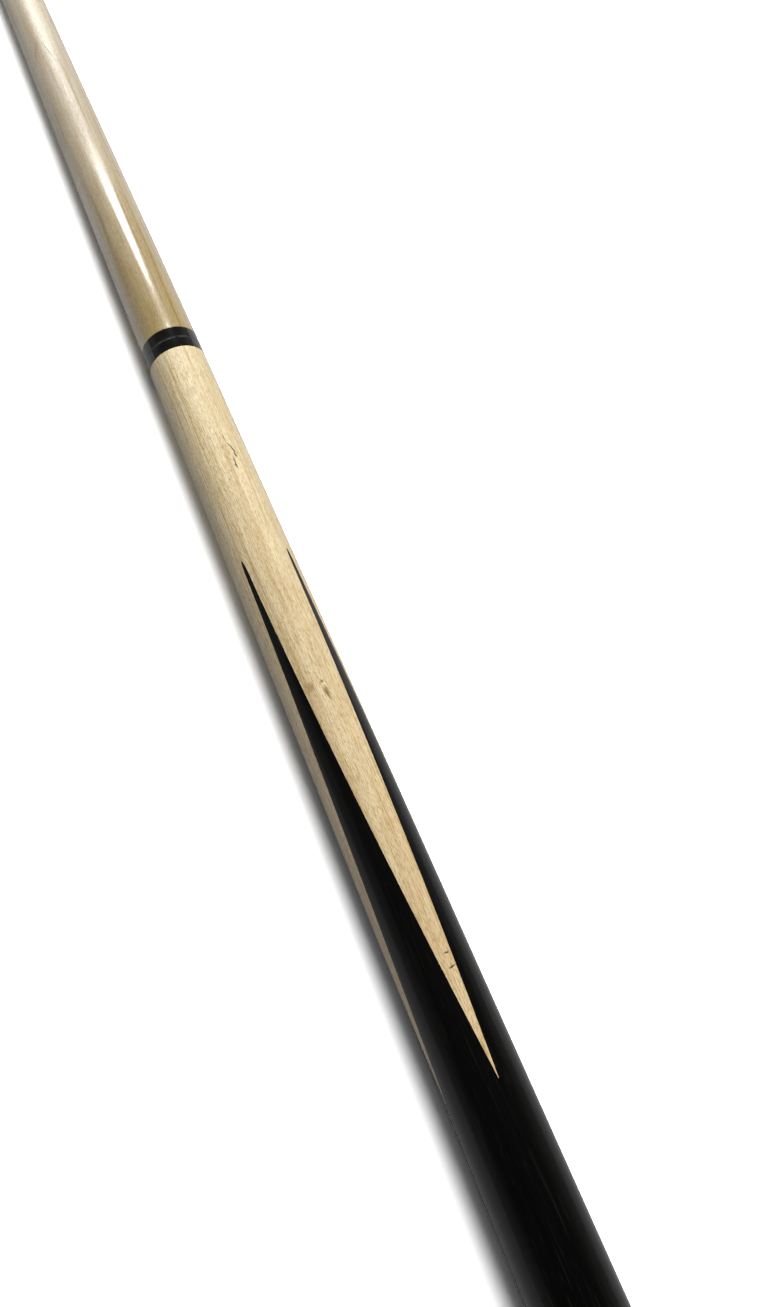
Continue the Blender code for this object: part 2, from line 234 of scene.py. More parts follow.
@dataclass(frozen=True)
class Mark(Pattern):
    """One mark on the wood: mostly natural ones, such as a mineral streak or a pin knot; one is painted
    sheen.
    """

    joint: float  # place of the joint along the cue
    station: float  # place of the mark, in millimetres ahead of the joint
    azimuth: float  # place round the cue, in degrees right of the top line
    length: float  # along the cue, in millimetres
    width: float  # across it, in millimetres
    lean: float  # turn on the surface, in degrees
    strength: float  # share of the tone in the middle of the mark
    tone: str  # its sRGB hex colour
    depth: float = 6.0  # how far it goes into the wood, in millimetres
    surface: float = 11.5  # distance of its middle from the axis, in millimetres
    rim: Point = (1.25, 0.6)  # where it starts and is full, in half sizes from its middle
    fray: Streaks = Streaks(1.6, 0.5, low=0.25, high=0.75, strength=0.5)  # frays its edge

    def mask(self, tree: Tree) -> Node:
        """Add the mark to a material.

        Args:
            tree: The material's tree.

        Returns:
            A node that gives the strength in the mark and 0 round it.
        """
        turn = Matrix.Rotation(math.radians(self.azimuth), 3, "X")
        middle = turn @ Vector((0.0, 0.0, self.surface * MM))
        middle.x = self.joint + self.station * MM
        local = add_node(tree, "ShaderNodeMapping", {
            "Vector": add_node(tree, "ShaderNodeTexCoord").outputs["Object"], "Location": middle,
            "Rotation": (turn @ Matrix.Rotation(math.radians(self.lean), 3, "Z")).to_euler(),
            "Scale": Vector((self.length / 2, self.width / 2, self.depth)) * MM,
        }, vector_type="TEXTURE")
        distance = add_node(tree, "ShaderNodeVectorMath", (local,), operation="LENGTH")
        edge = add_node(tree, MATH, (distance, self.fray), operation="ADD")
        return add_node(tree, MAP_RANGE, (edge, *self.rim, 0.0, self.strength))


@dataclass(frozen=True)
class PaintedHighlightLine(Pattern):
    """Painted highlight: a pale line along an edge, broken in patches, for the light the edge catches."""

    place: float  # along the cue
    half: float  # half its width
    patches: Streaks = Streaks(9.0, 3.0, low=0.30, high=0.60, strength=0.9, detail=3.0, shift=1.0)

    def mask(self, tree: Tree) -> Node:
        """Add the edge to a material.

        Args:
            tree: The material's tree.

        Returns:
            A node that gives the strength of the patches along the edge and 0 away from it.
        """
        place = add_node(tree, "ShaderNodeTexCoord").outputs["Object"]
        along = add_node(tree, "ShaderNodeSeparateXYZ", {"Vector": place}).outputs["X"]
        near = add_node(tree, MATH, (along, self.place, self.half), operation="COMPARE")
        return add_node(tree, MATH, (near, self.patches), operation="MULTIPLY")


class Blend(Enum):
    """How a layer's colour acts on the colour under it."""

    COVER = "MIX"
    STAIN = "MULTIPLY"
    LIGHTEN = "SCREEN"


Layer = tuple[Pattern, str, Blend]


# Finishes

@dataclass(frozen=True)
class Relief:
    """Fine grain that catches the light and leaves the outline as it is."""

    patterns: tuple[Pattern, ...]  # whose heights are added
    strength: float | Pattern  # share of the relief that shows
    depth: float  # in millimetres
    sunk: bool = False  # whether it lies below the surface
    coated: bool = False  # whether the lacquer follows it


@dataclass(frozen=True)
class Finish:
    """A real surface, made once as a procedural material."""

    name: str  # the real material and how its surface was made
    ground: str  # tone under its patterns

    def layers(self) -> list[Layer]:
        """Patterns over the ground, from the ground up."""
        return []

    def relief(self) -> Relief | None:
        """Fine relief of the surface, where it has one."""
        return None

    def shine(self) -> dict[str, object]:
        """Inputs of the shader besides colour and relief."""
        raise NotImplementedError

    def tone(self, tree: Tree) -> object:
        """Lay the patterns over the ground.

        Args:
            tree: The material's tree.

        Returns:
            The node that gives the finished colour, or the bare ground.
        """
        tone: object = linear(self.ground)
        for pattern, code, blend in self.layers():
            tone = add_node(tree, "ShaderNodeMix", {
                "Factor": pattern, "A": tone, "B": linear(code),
            }, data_type="RGBA", blend_type=blend.value)
        return tone

    def material(self) -> bpy.types.Material:
        """Make the material, unless it is made already.

        Returns:
            The material.
        """
        made = bpy.data.materials.get(self.name)
        if made:
            return made
        made = bpy.data.materials.new(self.name)
        made.use_nodes = True
        tree = made.node_tree
        tree.nodes.clear()
        inputs = {"Base Color": self.tone(tree)} | self.shine()
        relief = self.relief()
        if relief:
            height: object = 0.0
            for pattern in relief.patterns:
                height = add_node(tree, MATH, (height, pattern), operation="ADD")
            grain = add_node(tree, "ShaderNodeBump", {
                "Height": height, "Strength": relief.strength, "Distance": relief.depth * MM,
            }, invert=relief.sunk)
            inputs |= {"Normal": grain, "Coat Normal": grain} if relief.coated else {"Normal": grain}
        shader = add_node(tree, "ShaderNodeBsdfPrincipled", inputs)
        add_node(tree, "ShaderNodeOutputMaterial", {"Surface": shader})
        return made


@dataclass(frozen=True)
class LacqueredMaple(Finish):
    """Hard maple, turned, sanded and sealed under clear lacquer.

    The wood is pale and warm, with long faint ring lines, fine fibres and short flecks that glint. The
    lacquer gives a soft highlight that the grain frays, and a clear streak where use has polished it.
    """

    far: str  # tone that the wood drifts to, away from the joint
    drift: Stretch  # where it drifts
    rings: GrowthRings  # its year rings
    marks: tuple[Mark, ...]  # its natural marks, and on the shaft a pale band of painted sheen
    figure: float  # strength of its fibres and flecks
    shift: float  # moves its patterns to another part of the noise
    coat: float  # roughness of the lacquer
    polished: Point | None = None  # places between which a polish runs out
    cloud: str = "efe8d8"  # stain of its clouds
    ring: str = "d8c6a0"  # stain of its late wood and its fibres
    fleck: str = "d2c09a"  # stain of its dark flecks
    glint: str = "605c50"  # light that its bright flecks add
    bare: float = 0.5  # roughness of the wood
    open_grain: float = 0.9  # share of the relief that shows
    clear: float = 0.05  # roughness of the polish, and the share of the relief in it

    # Real fibres and flecks are finer than a pixel of the picture, so they are drawn wide enough to show.
    @property
    def fibres(self) -> Streaks:
        """Fine fibres along the grain."""
        return Streaks(14.0, 0.36, low=0.46, high=0.72, strength=0.60 * self.figure, shift=self.shift)

    @property
    def flecks(self) -> Streaks:
        """Short dark flecks where the rays are cut."""
        return Streaks(1.8, 0.28, low=0.48, high=0.66, strength=0.62 * self.figure, shift=self.shift)

    def layers(self) -> list[Layer]:
        """Clouds, rings, fibres, flecks and marks over wood that drifts in tone.

        Returns:
            The layers from the ground up.
        """
        clouds = Streaks(45.0, 2.4, low=0.42, high=0.66, strength=0.7, detail=3.0, shift=self.shift)
        glints = Streaks(1.5, 0.30, low=0.48, high=0.64, strength=0.95 * self.figure, shift=self.shift + 5.0)
        stains = [(clouds, self.cloud), (self.rings, self.ring)]
        stains += [(self.fibres, self.ring), (self.flecks, self.fleck)]
        layers = [(self.drift, self.far, Blend.COVER)]
        layers += [(stain, code, Blend.STAIN) for stain, code in stains]
        layers += [(glints, self.glint, Blend.LIGHTEN)]
        return layers + [(mark, mark.tone, Blend.COVER) for mark in self.marks]

    def relief(self) -> Relief:
        """Sunk fibres and flecks, which a polish fills."""
        shown = Stretch(*self.polished, self.clear, self.open_grain) if self.polished else self.open_grain
        return Relief((self.fibres, self.flecks), shown, depth=0.07, sunk=True, coated=True)

    def shine(self) -> dict[str, object]:
        """Lacquer over wood that is clear where it is polished."""
        rough = Stretch(*self.polished, self.clear, self.bare) if self.polished else self.bare
        return {"Roughness": rough, "Coat Weight": 1.0, "Coat Roughness": self.coat, "Coat IOR": 1.5}


@dataclass(frozen=True)
class LacqueredBlackwood(Finish):
    """Dense black hardwood, sanded and polished under clear gloss lacquer.

    It is almost pure black, with long pores that show as faint grey-brown hairs under the gloss.
    """

    cloud: str = "0a0908"  # tone of its clouds
    pore: str = "2b2824"  # tone of its pores
    # Long pores, drawn wider than real ones so that they show.
    hairs: Streaks = Streaks(26.0, 0.5, low=0.60, high=0.78, strength=0.55, shift=9.1)

    def layers(self) -> list[Layer]:
        """Brown clouds, then long and short pores.

        Returns:
            The layers from the ground up.
        """
        clouds = Streaks(80.0, 4.0, low=0.40, high=0.75, strength=0.8, detail=3.0, shift=3.7)
        pores = Streaks(5.0, 0.3, low=0.64, high=0.76, strength=0.45, shift=5.3)
        tones = [(clouds, self.cloud), (self.hairs, self.pore), (pores, self.pore)]
        return [(mask, code, Blend.COVER) for mask, code in tones]

    def relief(self) -> Relief:
        """Long pores, sunk into the wood."""
        return Relief((self.hairs,), strength=0.2, depth=0.01, sunk=True)

    def shine(self) -> dict[str, object]:
        """Thin gloss over dull wood."""
        coat = {"Coat Weight": 0.7, "Coat Roughness": 0.04, "Coat IOR": 1.34}
        return {"Roughness": 0.5, "Specular IOR Level": 0.1} | coat


@dataclass(frozen=True)
class TurnedResin(Finish):
    """Cast resin, turned on a lathe and polished.

    It is smooth and glossy, with soft clouds of filler and faint rings from the tool. Along one edge, a
    pale line of painted highlight stands for the light that the edge catches.
    """

    cloud: str  # tone of its filler
    line: str  # tone of its tool rings
    roughness: float  # of its polish
    parting: float | None = None  # place along the cue of an edge with a painted highlight
    painted_highlight: str = "535351"  # tone of that painted highlight
    painted_highlight_half: float = 0.38 * MM  # half its width
    # Tool rings, drawn coarser than real ones so that they show.
    rings: Streaks = Streaks(0.22, 60.0, low=0.50, high=0.75, strength=0.5, detail=1.0, shift=4.0)

    def layers(self) -> list[Layer]:
        """Filler clouds and tool rings, with the painted highlight along the edge on top.

        Returns:
            The layers from the ground up.
        """
        clouds = Streaks(3.0, 3.0, low=0.40, high=0.70, strength=0.6, detail=3.0, shift=2.0)
        layers = [(clouds, self.cloud, Blend.COVER), (self.rings, self.line, Blend.COVER)]
        if self.parting is not None:
            # Painted highlight: a pale, broken line on the parting edge, for the light that the edge
            # catches.
            layers.append((PaintedHighlightLine(self.parting, self.painted_highlight_half), self.painted_highlight, Blend.COVER))
        return layers

    def relief(self) -> Relief:
        """Faint tool rings."""
        return Relief((self.rings,), strength=0.08, depth=0.01)

    def shine(self) -> dict[str, object]:
        """Bare polish of the resin."""
        return {"Roughness": self.roughness, "IOR": 1.5}


@dataclass(frozen=True)
class MouldedRubber(Finish):
    """Black rubber from a mould: dull, finely grained, with a little dust on it."""

    dust: str = "2b2a28"  # tone of the dust
    patches: Streaks = Streaks(2.2, 2.2, low=0.45, high=0.75, strength=0.55, detail=4.0, shift=1.0)
    grain: Streaks = Streaks(0.35, 0.35, low=0.35, high=0.65, shift=6.0)

    def layers(self) -> list[Layer]:
        """Patches of dust."""
        return [(self.patches, self.dust, Blend.COVER)]

    def relief(self) -> Relief:
        """Grain of the mould."""
        return Relief((self.grain,), strength=0.4, depth=0.04)

    def shine(self) -> dict[str, object]:
        """Dull skin of the rubber."""
        return {"Roughness": 0.78, "Specular IOR Level": 0.35}


@dataclass(frozen=True)
class TurnedMetal(Finish):
    """Bare or plated metal cut on a lathe.

    It mirrors its surroundings softly, with slight stains and fine tool rings.
    """

    stain: str  # tone of its stains and tool rings
    roughness: float  # of the clean metal
    dulling: float = 0.12  # roughness that a full stain adds
    stains: Streaks = Streaks(4.0, 4.0, low=0.45, high=0.75, strength=0.6, detail=4.0, shift=8.0)
    # Tool rings, drawn coarser than real ones so that they show.
    rings: Streaks = Streaks(0.12, 40.0, low=0.40, high=0.70, strength=0.35, detail=1.0, shift=3.0)

    def layers(self) -> list[Layer]:
        """Stains and tool rings."""
        return [(mask, self.stain, Blend.COVER) for mask in (self.stains, self.rings)]

    def relief(self) -> Relief:
        """Fine tool rings."""
        return Relief((self.rings,), strength=0.2, depth=0.01)

    def shine(self) -> dict[str, object]:
        """Metal that is duller in its stains."""
        full = self.roughness + self.dulling
        return {"Metallic": 1.0, "Roughness": replace(self.stains, ground=self.roughness, strength=full)}


@dataclass(frozen=True)
class PressedFibre(Finish):
    """Black vulcanised fibre: matt sheet with a faint felted grain."""

    fibre: str = "2c2b2c"  # tone of its pale fibres
    # Felted fibres, drawn coarser than real ones so that they show.
    felt: Streaks = Streaks(0.4, 1.2, low=0.40, high=0.70, strength=0.7, detail=3.0, shift=7.0)

    def layers(self) -> list[Layer]:
        """Felted grain."""
        return [(self.felt, self.fibre, Blend.COVER)]

    def relief(self) -> Relief:
        """Felted grain, raised."""
        return Relief((self.felt,), strength=0.3, depth=0.03)

    def shine(self) -> dict[str, object]:
        """Matt sheet."""
        return {"Roughness": 0.7}


@dataclass(frozen=True)
class ChalkedLeather(Finish):
    """Layers of pressed pigskin, burnished at the side, with blue chalk on the crown."""

    crown: float  # place of the crown along the cue
    chalked: float = 4.0 * MM  # depth of the chalk below it
    ply: str = "2f2018"  # tone of the glued layers
    scuff: str = "75543c"  # tone of the scuffs
    chalk: str = "5b7f9d"  # tone of the chalk
    cover: float = 0.9  # share of it on the crown
    scuffs: Streaks = Streaks(0.6, 0.9, low=0.42, high=0.70, strength=0.7, detail=4.0, shift=5.0)

    def layers(self) -> list[Layer]:
        """Glued layers and scuffs, with chalk that thickens towards the crown.

        Returns:
            The layers from the ground up.
        """
        plies = Streaks(0.75, 50.0, low=0.46, high=0.60, strength=0.6, detail=1.0, shift=2.0)
        dusted = Stretch(self.crown - self.chalked, self.crown, high=self.cover)
        tones = [(plies, self.ply), (self.scuffs, self.scuff), (dusted, self.chalk)]
        return [(mask, code, Blend.COVER) for mask, code in tones]

    def relief(self) -> Relief:
        """Scuffed nap of the leather."""
        return Relief((self.scuffs,), strength=0.5, depth=0.05)

    def shine(self) -> dict[str, object]:
        """Dull leather."""
        return {"Roughness": 0.85, "Specular IOR Level": 0.3}


# Shaping

class Rule(Enum):
    """How the lathe finds the radius of the points that follow a rule."""

    PLAIN = "plain"
    TAPER = "taper"
    THREAD = "thread"


RULE_SIZES = {
    Rule.PLAIN: (),
    Rule.TAPER: ("Joint", "Joint Radius", "Tip Radius", "Taper Length", "Joint Slope"),
    Rule.THREAD: ("Pitch", "Depth"),
}
RULE_WEIGHT = "rule_weight"


@dataclass
class Outline:
    """Outline of a turned piece, from (x, radius) points."""

    points: list[Point] = field(default_factory=list)  # in order
    weights: list[float] = field(default_factory=list)  # share of the lathe's rule at each point

    def run(self, points: Sequence[Point], weights: Sequence[float] | None = None) -> "Outline":
        """Add points that follow on.

        Args:
            points: The points to add.
            weights: One share of the rule for each point, or none of it.

        Returns:
            The outline itself.
        """
        self.points += points
        self.weights += weights or [0.0] * len(points)
        return self

    def mesh(self, name: str) -> bpy.types.Mesh:
        """Make the outline a chain of edges that carries its weights.

        Args:
            name: Name of the mesh.

        Returns:
            The chain in the XZ plane.
        """
        chain = bpy.data.meshes.new(name)
        spots = [(x, 0.0, radius) for x, radius in self.points]
        chain.from_pydata(spots, [(spot, spot + 1) for spot in range(len(spots) - 1)], [])
        chain.attributes.new(RULE_WEIGHT, "FLOAT", "POINT").data.foreach_set("value", self.weights)
        return chain


def eased(corners: Sequence[Point], ease: float, closed: bool = False, steps: int = 5) -> list[Point]:
    """Break the corners of an outline with small rounds.

    Args:
        corners: The sharp corners in order.
        ease: Length of each side that a round takes.
        closed: Whether the outline closes on itself.
        steps: Points on each round, less one.

    Returns:
        The points of the eased outline, the first one repeated where it is closed.
    """
    most = 0.3  # share of a side that a round may take
    margin = 0.4  # plain length before and after a round, as a share of it
    spots = [Vector(corner) for corner in corners]
    count = len(spots)
    result: list[Point] = []
    for index, spot in enumerate(spots):
        if not closed and index in (0, count - 1):
            result.append(tuple(spot))
            continue
        before, after = spots[index - 1] - spot, spots[(index + 1) % count] - spot
        reach = min(ease, before.length * most, after.length * most)
        back, on = before.normalized() * reach, after.normalized() * reach
        start, end = spot + back, spot + on
        result.append(tuple(start + back * margin))
        for step in range(steps + 1):
            share = step / steps
            bend = start * (1 - share) ** 2 + spot * 2 * share * (1 - share) + end * share**2
            result.append(tuple(bend))
        result.append(tuple(end + on * margin))
    return result + result[:1] if closed else result


def start_tree(name: str, inputs: Mapping[str, str]) -> tuple[Tree, bpy.types.NodeOutputs]:
    """Start a geometry tree with named inputs and one geometry output.

    Args:
        name: Name of the tree.
        inputs: Names of the inputs after the geometry, with their socket types.

    Returns:
        The tree and the outputs of its input node.
    """
    tree = bpy.data.node_groups.new(name, "GeometryNodeTree")
    geometry = {"Geometry": "NodeSocketGeometry"}
    for side, sockets in (("INPUT", geometry | inputs), ("OUTPUT", geometry)):
        for label, kind in sockets.items():
            tree.interface.new_socket(label, in_out=side, socket_type=kind)
    return tree, add_node(tree, "NodeGroupInput").outputs


def end_tree(tree: Tree, shape: Node, material: bpy.types.NodeSocket) -> None:
    """Realize the shape, give it its material and send it out.

    Args:
        tree: Tree to end.
        shape: Node whose geometry is finished.
        material: Socket that gives the material.
    """
    real = add_node(tree, "GeometryNodeRealizeInstances", {"Geometry": shape})
    dressed = add_node(tree, "GeometryNodeSetMaterial", {"Geometry": real, "Material": material})
    add_node(tree, "NodeGroupOutput", {"Geometry": dressed})


def taper_radius(tree: Tree, sizes: bpy.types.NodeOutputs, along: object) -> Node:
    """Add the shaft's taper: a falling curve that runs out into a parallel.

    Args:
        tree: Tree of the lathe.
        sizes: Outputs of its input node.
        along: Place along the cue.

    Returns:
        The node that gives the radius there.
    """
    ahead = add_node(tree, MATH, (along, sizes["Joint"]), operation="SUBTRACT")
    share = add_node(tree, MATH, (ahead, sizes["Taper Length"]), operation="DIVIDE", use_clamp=True)
    rest = add_node(tree, MATH, (1.0, share), operation="SUBTRACT")
    squared = add_node(tree, MATH, (rest, rest), operation="MULTIPLY")
    doubled = add_node(tree, MATH, (share, 2.0, 1.0), operation="MULTIPLY_ADD")
    start = add_node(tree, MATH, (squared, doubled), operation="MULTIPLY")
    lean = add_node(tree, MATH, (squared, share), operation="MULTIPLY")
    drop = add_node(tree, MATH, (sizes["Joint Radius"], sizes["Tip Radius"]), operation="SUBTRACT")
    level = add_node(tree, MATH, (start, drop, sizes["Tip Radius"]), operation="MULTIPLY_ADD")
    slope = add_node(tree, MATH, (sizes["Joint Slope"], sizes["Taper Length"]), operation="MULTIPLY")
    fall = add_node(tree, MATH, (lean, slope), operation="MULTIPLY")
    return add_node(tree, MATH, (level, fall), operation="SUBTRACT")


def thread_radius(
    tree: Tree, sizes: bpy.types.NodeOutputs, along: object, turns: object, radius: object
) -> Node:
    """Add a right-hand thread: flanks that wind once round the axis for each pitch.

    Args:
        tree: Tree of the lathe.
        sizes: Outputs of its input node.
        along: Place along the cue.
        turns: Place round the cue, in turns.
        radius: Radius of the plain outline.

    Returns:
        The node that gives the radius in the thread.
    """
    crest, flank = 0.12, 0.72  # widths of half a crest and of a flank, in half pitches
    pitches = add_node(tree, MATH, (along, sizes["Pitch"]), operation="DIVIDE")
    wound = add_node(tree, MATH, (pitches, turns), operation="SUBTRACT")
    halves = add_node(tree, MATH, (wound, 2.0), operation="MULTIPLY")
    rise = add_node(tree, MATH, (halves, 1.0), operation="PINGPONG")
    above = add_node(tree, MATH, (rise, crest), operation="SUBTRACT")
    cut = add_node(tree, MATH, (above, flank), operation="DIVIDE", use_clamp=True)
    deep = add_node(tree, MATH, (cut, sizes["Depth"]), operation="MULTIPLY")
    return add_node(tree, MATH, (radius, deep), operation="SUBTRACT")


def lathe_tree(rule: Rule) -> Tree:
    """Build the lathe: it turns an outline about the cue's axis and lets weighted points follow a rule.

    Args:
        rule: Rule for the weighted points.

    Returns:
        The tree, made once for each rule.
    """
    name = f"lathe_{rule.value}"
    if name in bpy.data.node_groups:
        return bpy.data.node_groups[name]
    inputs = {"Facets": "NodeSocketInt", "Material": "NodeSocketMaterial"}
    tree, sizes = start_tree(name, inputs | {size: "NodeSocketFloat" for size in RULE_SIZES[rule]})
    outline = sizes["Geometry"]
    counts = add_node(tree, "GeometryNodeAttributeDomainSize", {"Geometry": outline})
    stations = counts.outputs["Point Count"]
    spokes = add_node(tree, MATH, (sizes["Facets"], 1.0), operation="ADD")
    grid = add_node(tree, "GeometryNodeMeshGrid", {"Vertices X": stations, "Vertices Y": spokes})
    index = add_node(tree, "GeometryNodeInputIndex")
    middle = add_node(tree, MATH, (index, 0.5), operation="ADD")
    rows = add_node(tree, MATH, (middle, spokes), operation="DIVIDE")
    station = add_node(tree, MATH, (rows,), operation="FLOOR")
    before = add_node(tree, MATH, (station, spokes), operation="MULTIPLY")
    spoke = add_node(tree, MATH, (index, before), operation="SUBTRACT")
    turns = add_node(tree, MATH, (spoke, sizes["Facets"]), operation="DIVIDE")
    spot = add_node(tree, "GeometryNodeSampleIndex", {
        "Geometry": outline, "Value": add_node(tree, "GeometryNodeInputPosition"), "Index": station,
    }, data_type="FLOAT_VECTOR")
    parts = add_node(tree, "ShaderNodeSeparateXYZ", {"Vector": spot})
    along, radius = parts.outputs["X"], parts.outputs["Z"]
    if rule is not Rule.PLAIN:
        weighted = add_node(
            tree, "GeometryNodeInputNamedAttribute", {"Name": RULE_WEIGHT}, data_type="FLOAT"
        )
        weight = add_node(tree, "GeometryNodeSampleIndex", {
            "Geometry": outline, "Value": weighted, "Index": station,
        }, data_type="FLOAT")
        if rule is Rule.TAPER:
            ruled = taper_radius(tree, sizes, along)
        else:
            ruled = thread_radius(tree, sizes, along, turns, radius)
        change = add_node(tree, MATH, (ruled, radius), operation="SUBTRACT")
        radius = add_node(tree, MATH, (change, weight, radius), operation="MULTIPLY_ADD")
    flat = add_node(tree, "ShaderNodeCombineXYZ", {"X": along, "Z": radius})
    angle = add_node(tree, MATH, (turns, math.tau), operation="MULTIPLY")
    turned = add_node(
        tree, "ShaderNodeVectorRotate", {"Vector": flat, "Angle": angle}, rotation_type="X_AXIS"
    )
    shape = add_node(tree, "GeometryNodeSetPosition", {
        "Geometry": grid.outputs["Mesh"], "Position": turned,
    })
    end_tree(tree, shape, sizes["Material"])
    return tree


def quarters_tree() -> Tree:
    """Build the tree that sets copies of a sector round the cue's axis.

    Returns:
        The tree, made once.
    """
    name = "ring_of_sectors"
    if name in bpy.data.node_groups:
        return bpy.data.node_groups[name]
    tree, sizes = start_tree(name, {
        "Count": "NodeSocketInt", "Roll": "NodeSocketFloat", "Material": "NodeSocketMaterial",
    })
    points = add_node(tree, "GeometryNodeMeshLine", {"Count": sizes["Count"], "Offset": (0.0, 0.0, 0.0)})
    index = add_node(tree, "GeometryNodeInputIndex")
    share = add_node(tree, MATH, (index, sizes["Count"]), operation="DIVIDE")
    angle = add_node(tree, MATH, (share, math.tau, sizes["Roll"]), operation="MULTIPLY_ADD")
    turn = add_node(tree, "FunctionNodeAxisAngleToRotation", {"Axis": (1.0, 0.0, 0.0), "Angle": angle})
    copies = add_node(tree, "GeometryNodeInstanceOnPoints", {
        "Points": points, "Instance": sizes["Geometry"], "Rotation": turn,
    })
    end_tree(tree, copies, sizes["Material"])
    return tree


def shape_piece(
    name: str, start: bpy.types.Mesh, tree: Tree, values: Mapping[str, object]
) -> bpy.types.Object:
    """Run a tree on a starting mesh and keep the result as a plain closed mesh.

    Args:
        name: Name of the piece.
        start: Mesh that the tree takes as its geometry.
        tree: Tree to run.
        values: Values of the tree's inputs, by name.

    Returns:
        The piece, at the origin, with its place in its mesh.
    """
    piece = bpy.data.objects.new(name, start)
    modifier = piece.modifiers.new("shape", "NODES")
    modifier.node_group = tree
    for item in tree.interface.items_tree:
        if item.in_out == "INPUT" and item.name in values:
            modifier[item.identifier] = values[item.name]
    bpy.context.scene.collection.objects.link(piece)
    graph = bpy.context.evaluated_depsgraph_get()
    made = bpy.data.meshes.new_from_object(piece.evaluated_get(graph), depsgraph=graph)
    piece.modifiers.clear()
    piece.data = made
    bpy.data.meshes.remove(start)
    made.name = name
    closed = bmesh.new()
    closed.from_mesh(made)
    bmesh.ops.remove_doubles(closed, verts=closed.verts, dist=WELD)
    bmesh.ops.recalc_face_normals(closed, faces=closed.faces)
    closed.to_mesh(made)
    closed.free()
    while made.materials[0] is None:
        made.materials.pop(index=0)
    made.shade_smooth()
    made.set_sharp_from_angle(angle=SHARP)
    return piece


def turn_piece(
    name: str, outline: Outline, finish: Finish, rule: Rule = Rule.PLAIN, flats: int = ROUND_FLATS,
    sizes: Mapping[str, float] | None = None,
) -> bpy.types.Object:
    """Turn an outline into a piece.

    Args:
        name: Name of the piece.
        outline: Its outline, from axis to axis or closed on itself.
        finish: Its surface.
        rule: Rule for the outline's weighted points.
        flats: Flats round the piece.
        sizes: Sizes of the rule, by the names of the lathe's inputs.

    Returns:
        The turned piece.
    """
    values = {"Facets": flats, "Material": finish.material()} | (sizes or {})
    return shape_piece(name, outline.mesh(name), lathe_tree(rule), values)


# The cue

@dataclass(frozen=True)
class Span:
    """Room that a node of the frame takes along the cue and round its axis."""

    rear: float  # its rear end
    front: float  # its front end
    radius: float  # of the round through the corners of its flats

    @classmethod
    def of(cls, node: str) -> "Span":
        """Measure a node of the frame."""
        low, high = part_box(node)
        return cls(low.x, high.x, high.z / math.cos(math.pi / SOLID_FLATS))


@dataclass(frozen=True)
class Piece:
    """A finished piece and what it stands for."""

    shape: bpy.types.Object  # the piece itself
    body: str  # body of the frame that carries it
    node: str  # node of the frame that it replaces
    slot: str  # material slot of the record

    def seat(self) -> None:
        """Set the piece on its body in place of its node."""
        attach(self.shape, self.body)
        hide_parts(self.node)


@dataclass(frozen=True)
class ButtTaper:
    """Straight taper of the butt, from the cap to the joint."""

    cap: Span  # room of the butt cap
    collar: Span  # room of the butt's joint collar

    def radius(self, x: float) -> float:
        """Radius of the butt at a place along the cue."""
        share = (x - self.cap.rear) / (self.collar.rear - self.cap.rear)
        return self.cap.radius + (self.collar.radius - self.cap.radius) * share


@dataclass(frozen=True)
class ShaftTaper:
    """Taper of the shaft, which falls from the joint and runs out into a parallel."""

    joint: float  # place of the joint along the cue
    joint_radius: float  # radius there
    tip_radius: float  # radius of the parallel
    front: float  # front end of the parallel
    straight: float = 10.0 * INCH  # length of the parallel
    slope: float = 0.0088  # fall of the radius at the joint

    @property
    def sizes(self) -> dict[str, float]:
        """Find the sizes of the taper.

        Returns:
            The sizes, by the names of the lathe's inputs.
        """
        length = self.front - self.straight - self.joint
        values = (self.joint, self.joint_radius, self.tip_radius, length, self.slope)
        return dict(zip(RULE_SIZES[Rule.TAPER], values))


@dataclass(frozen=True)
class Thread:
    """Right-hand screw thread."""

    pitch: float  # distance from crest to crest
    depth: float  # of the cut, towards the axis, or away from it where negative
    steps: int = 12  # points in each pitch

    @property
    def sizes(self) -> dict[str, float]:
        """Sizes of the thread, by the names of the lathe's inputs."""
        return dict(zip(RULE_SIZES[Rule.THREAD], (self.pitch, self.depth)))

    def points(self, start: float, end: float, radius: float) -> tuple[list[Point], list[float]]:
        """Points of a threaded length, whose thread fades in and out over one pitch.

        Args:
            start: Where the thread starts along the cue.
            end: Where it ends.
            radius: Radius of its crests, or of the plain bore.

        Returns:
            The points in order and the weight of the thread at each.
        """
        count = round(abs(end - start) / self.pitch * self.steps)
        places = [start + (end - start) * step / count for step in range(count + 1)]
        fades = [min(1.0, abs(x - start) / self.pitch, abs(x - end) / self.pitch) for x in places]
        return [(x, radius) for x in places], fades


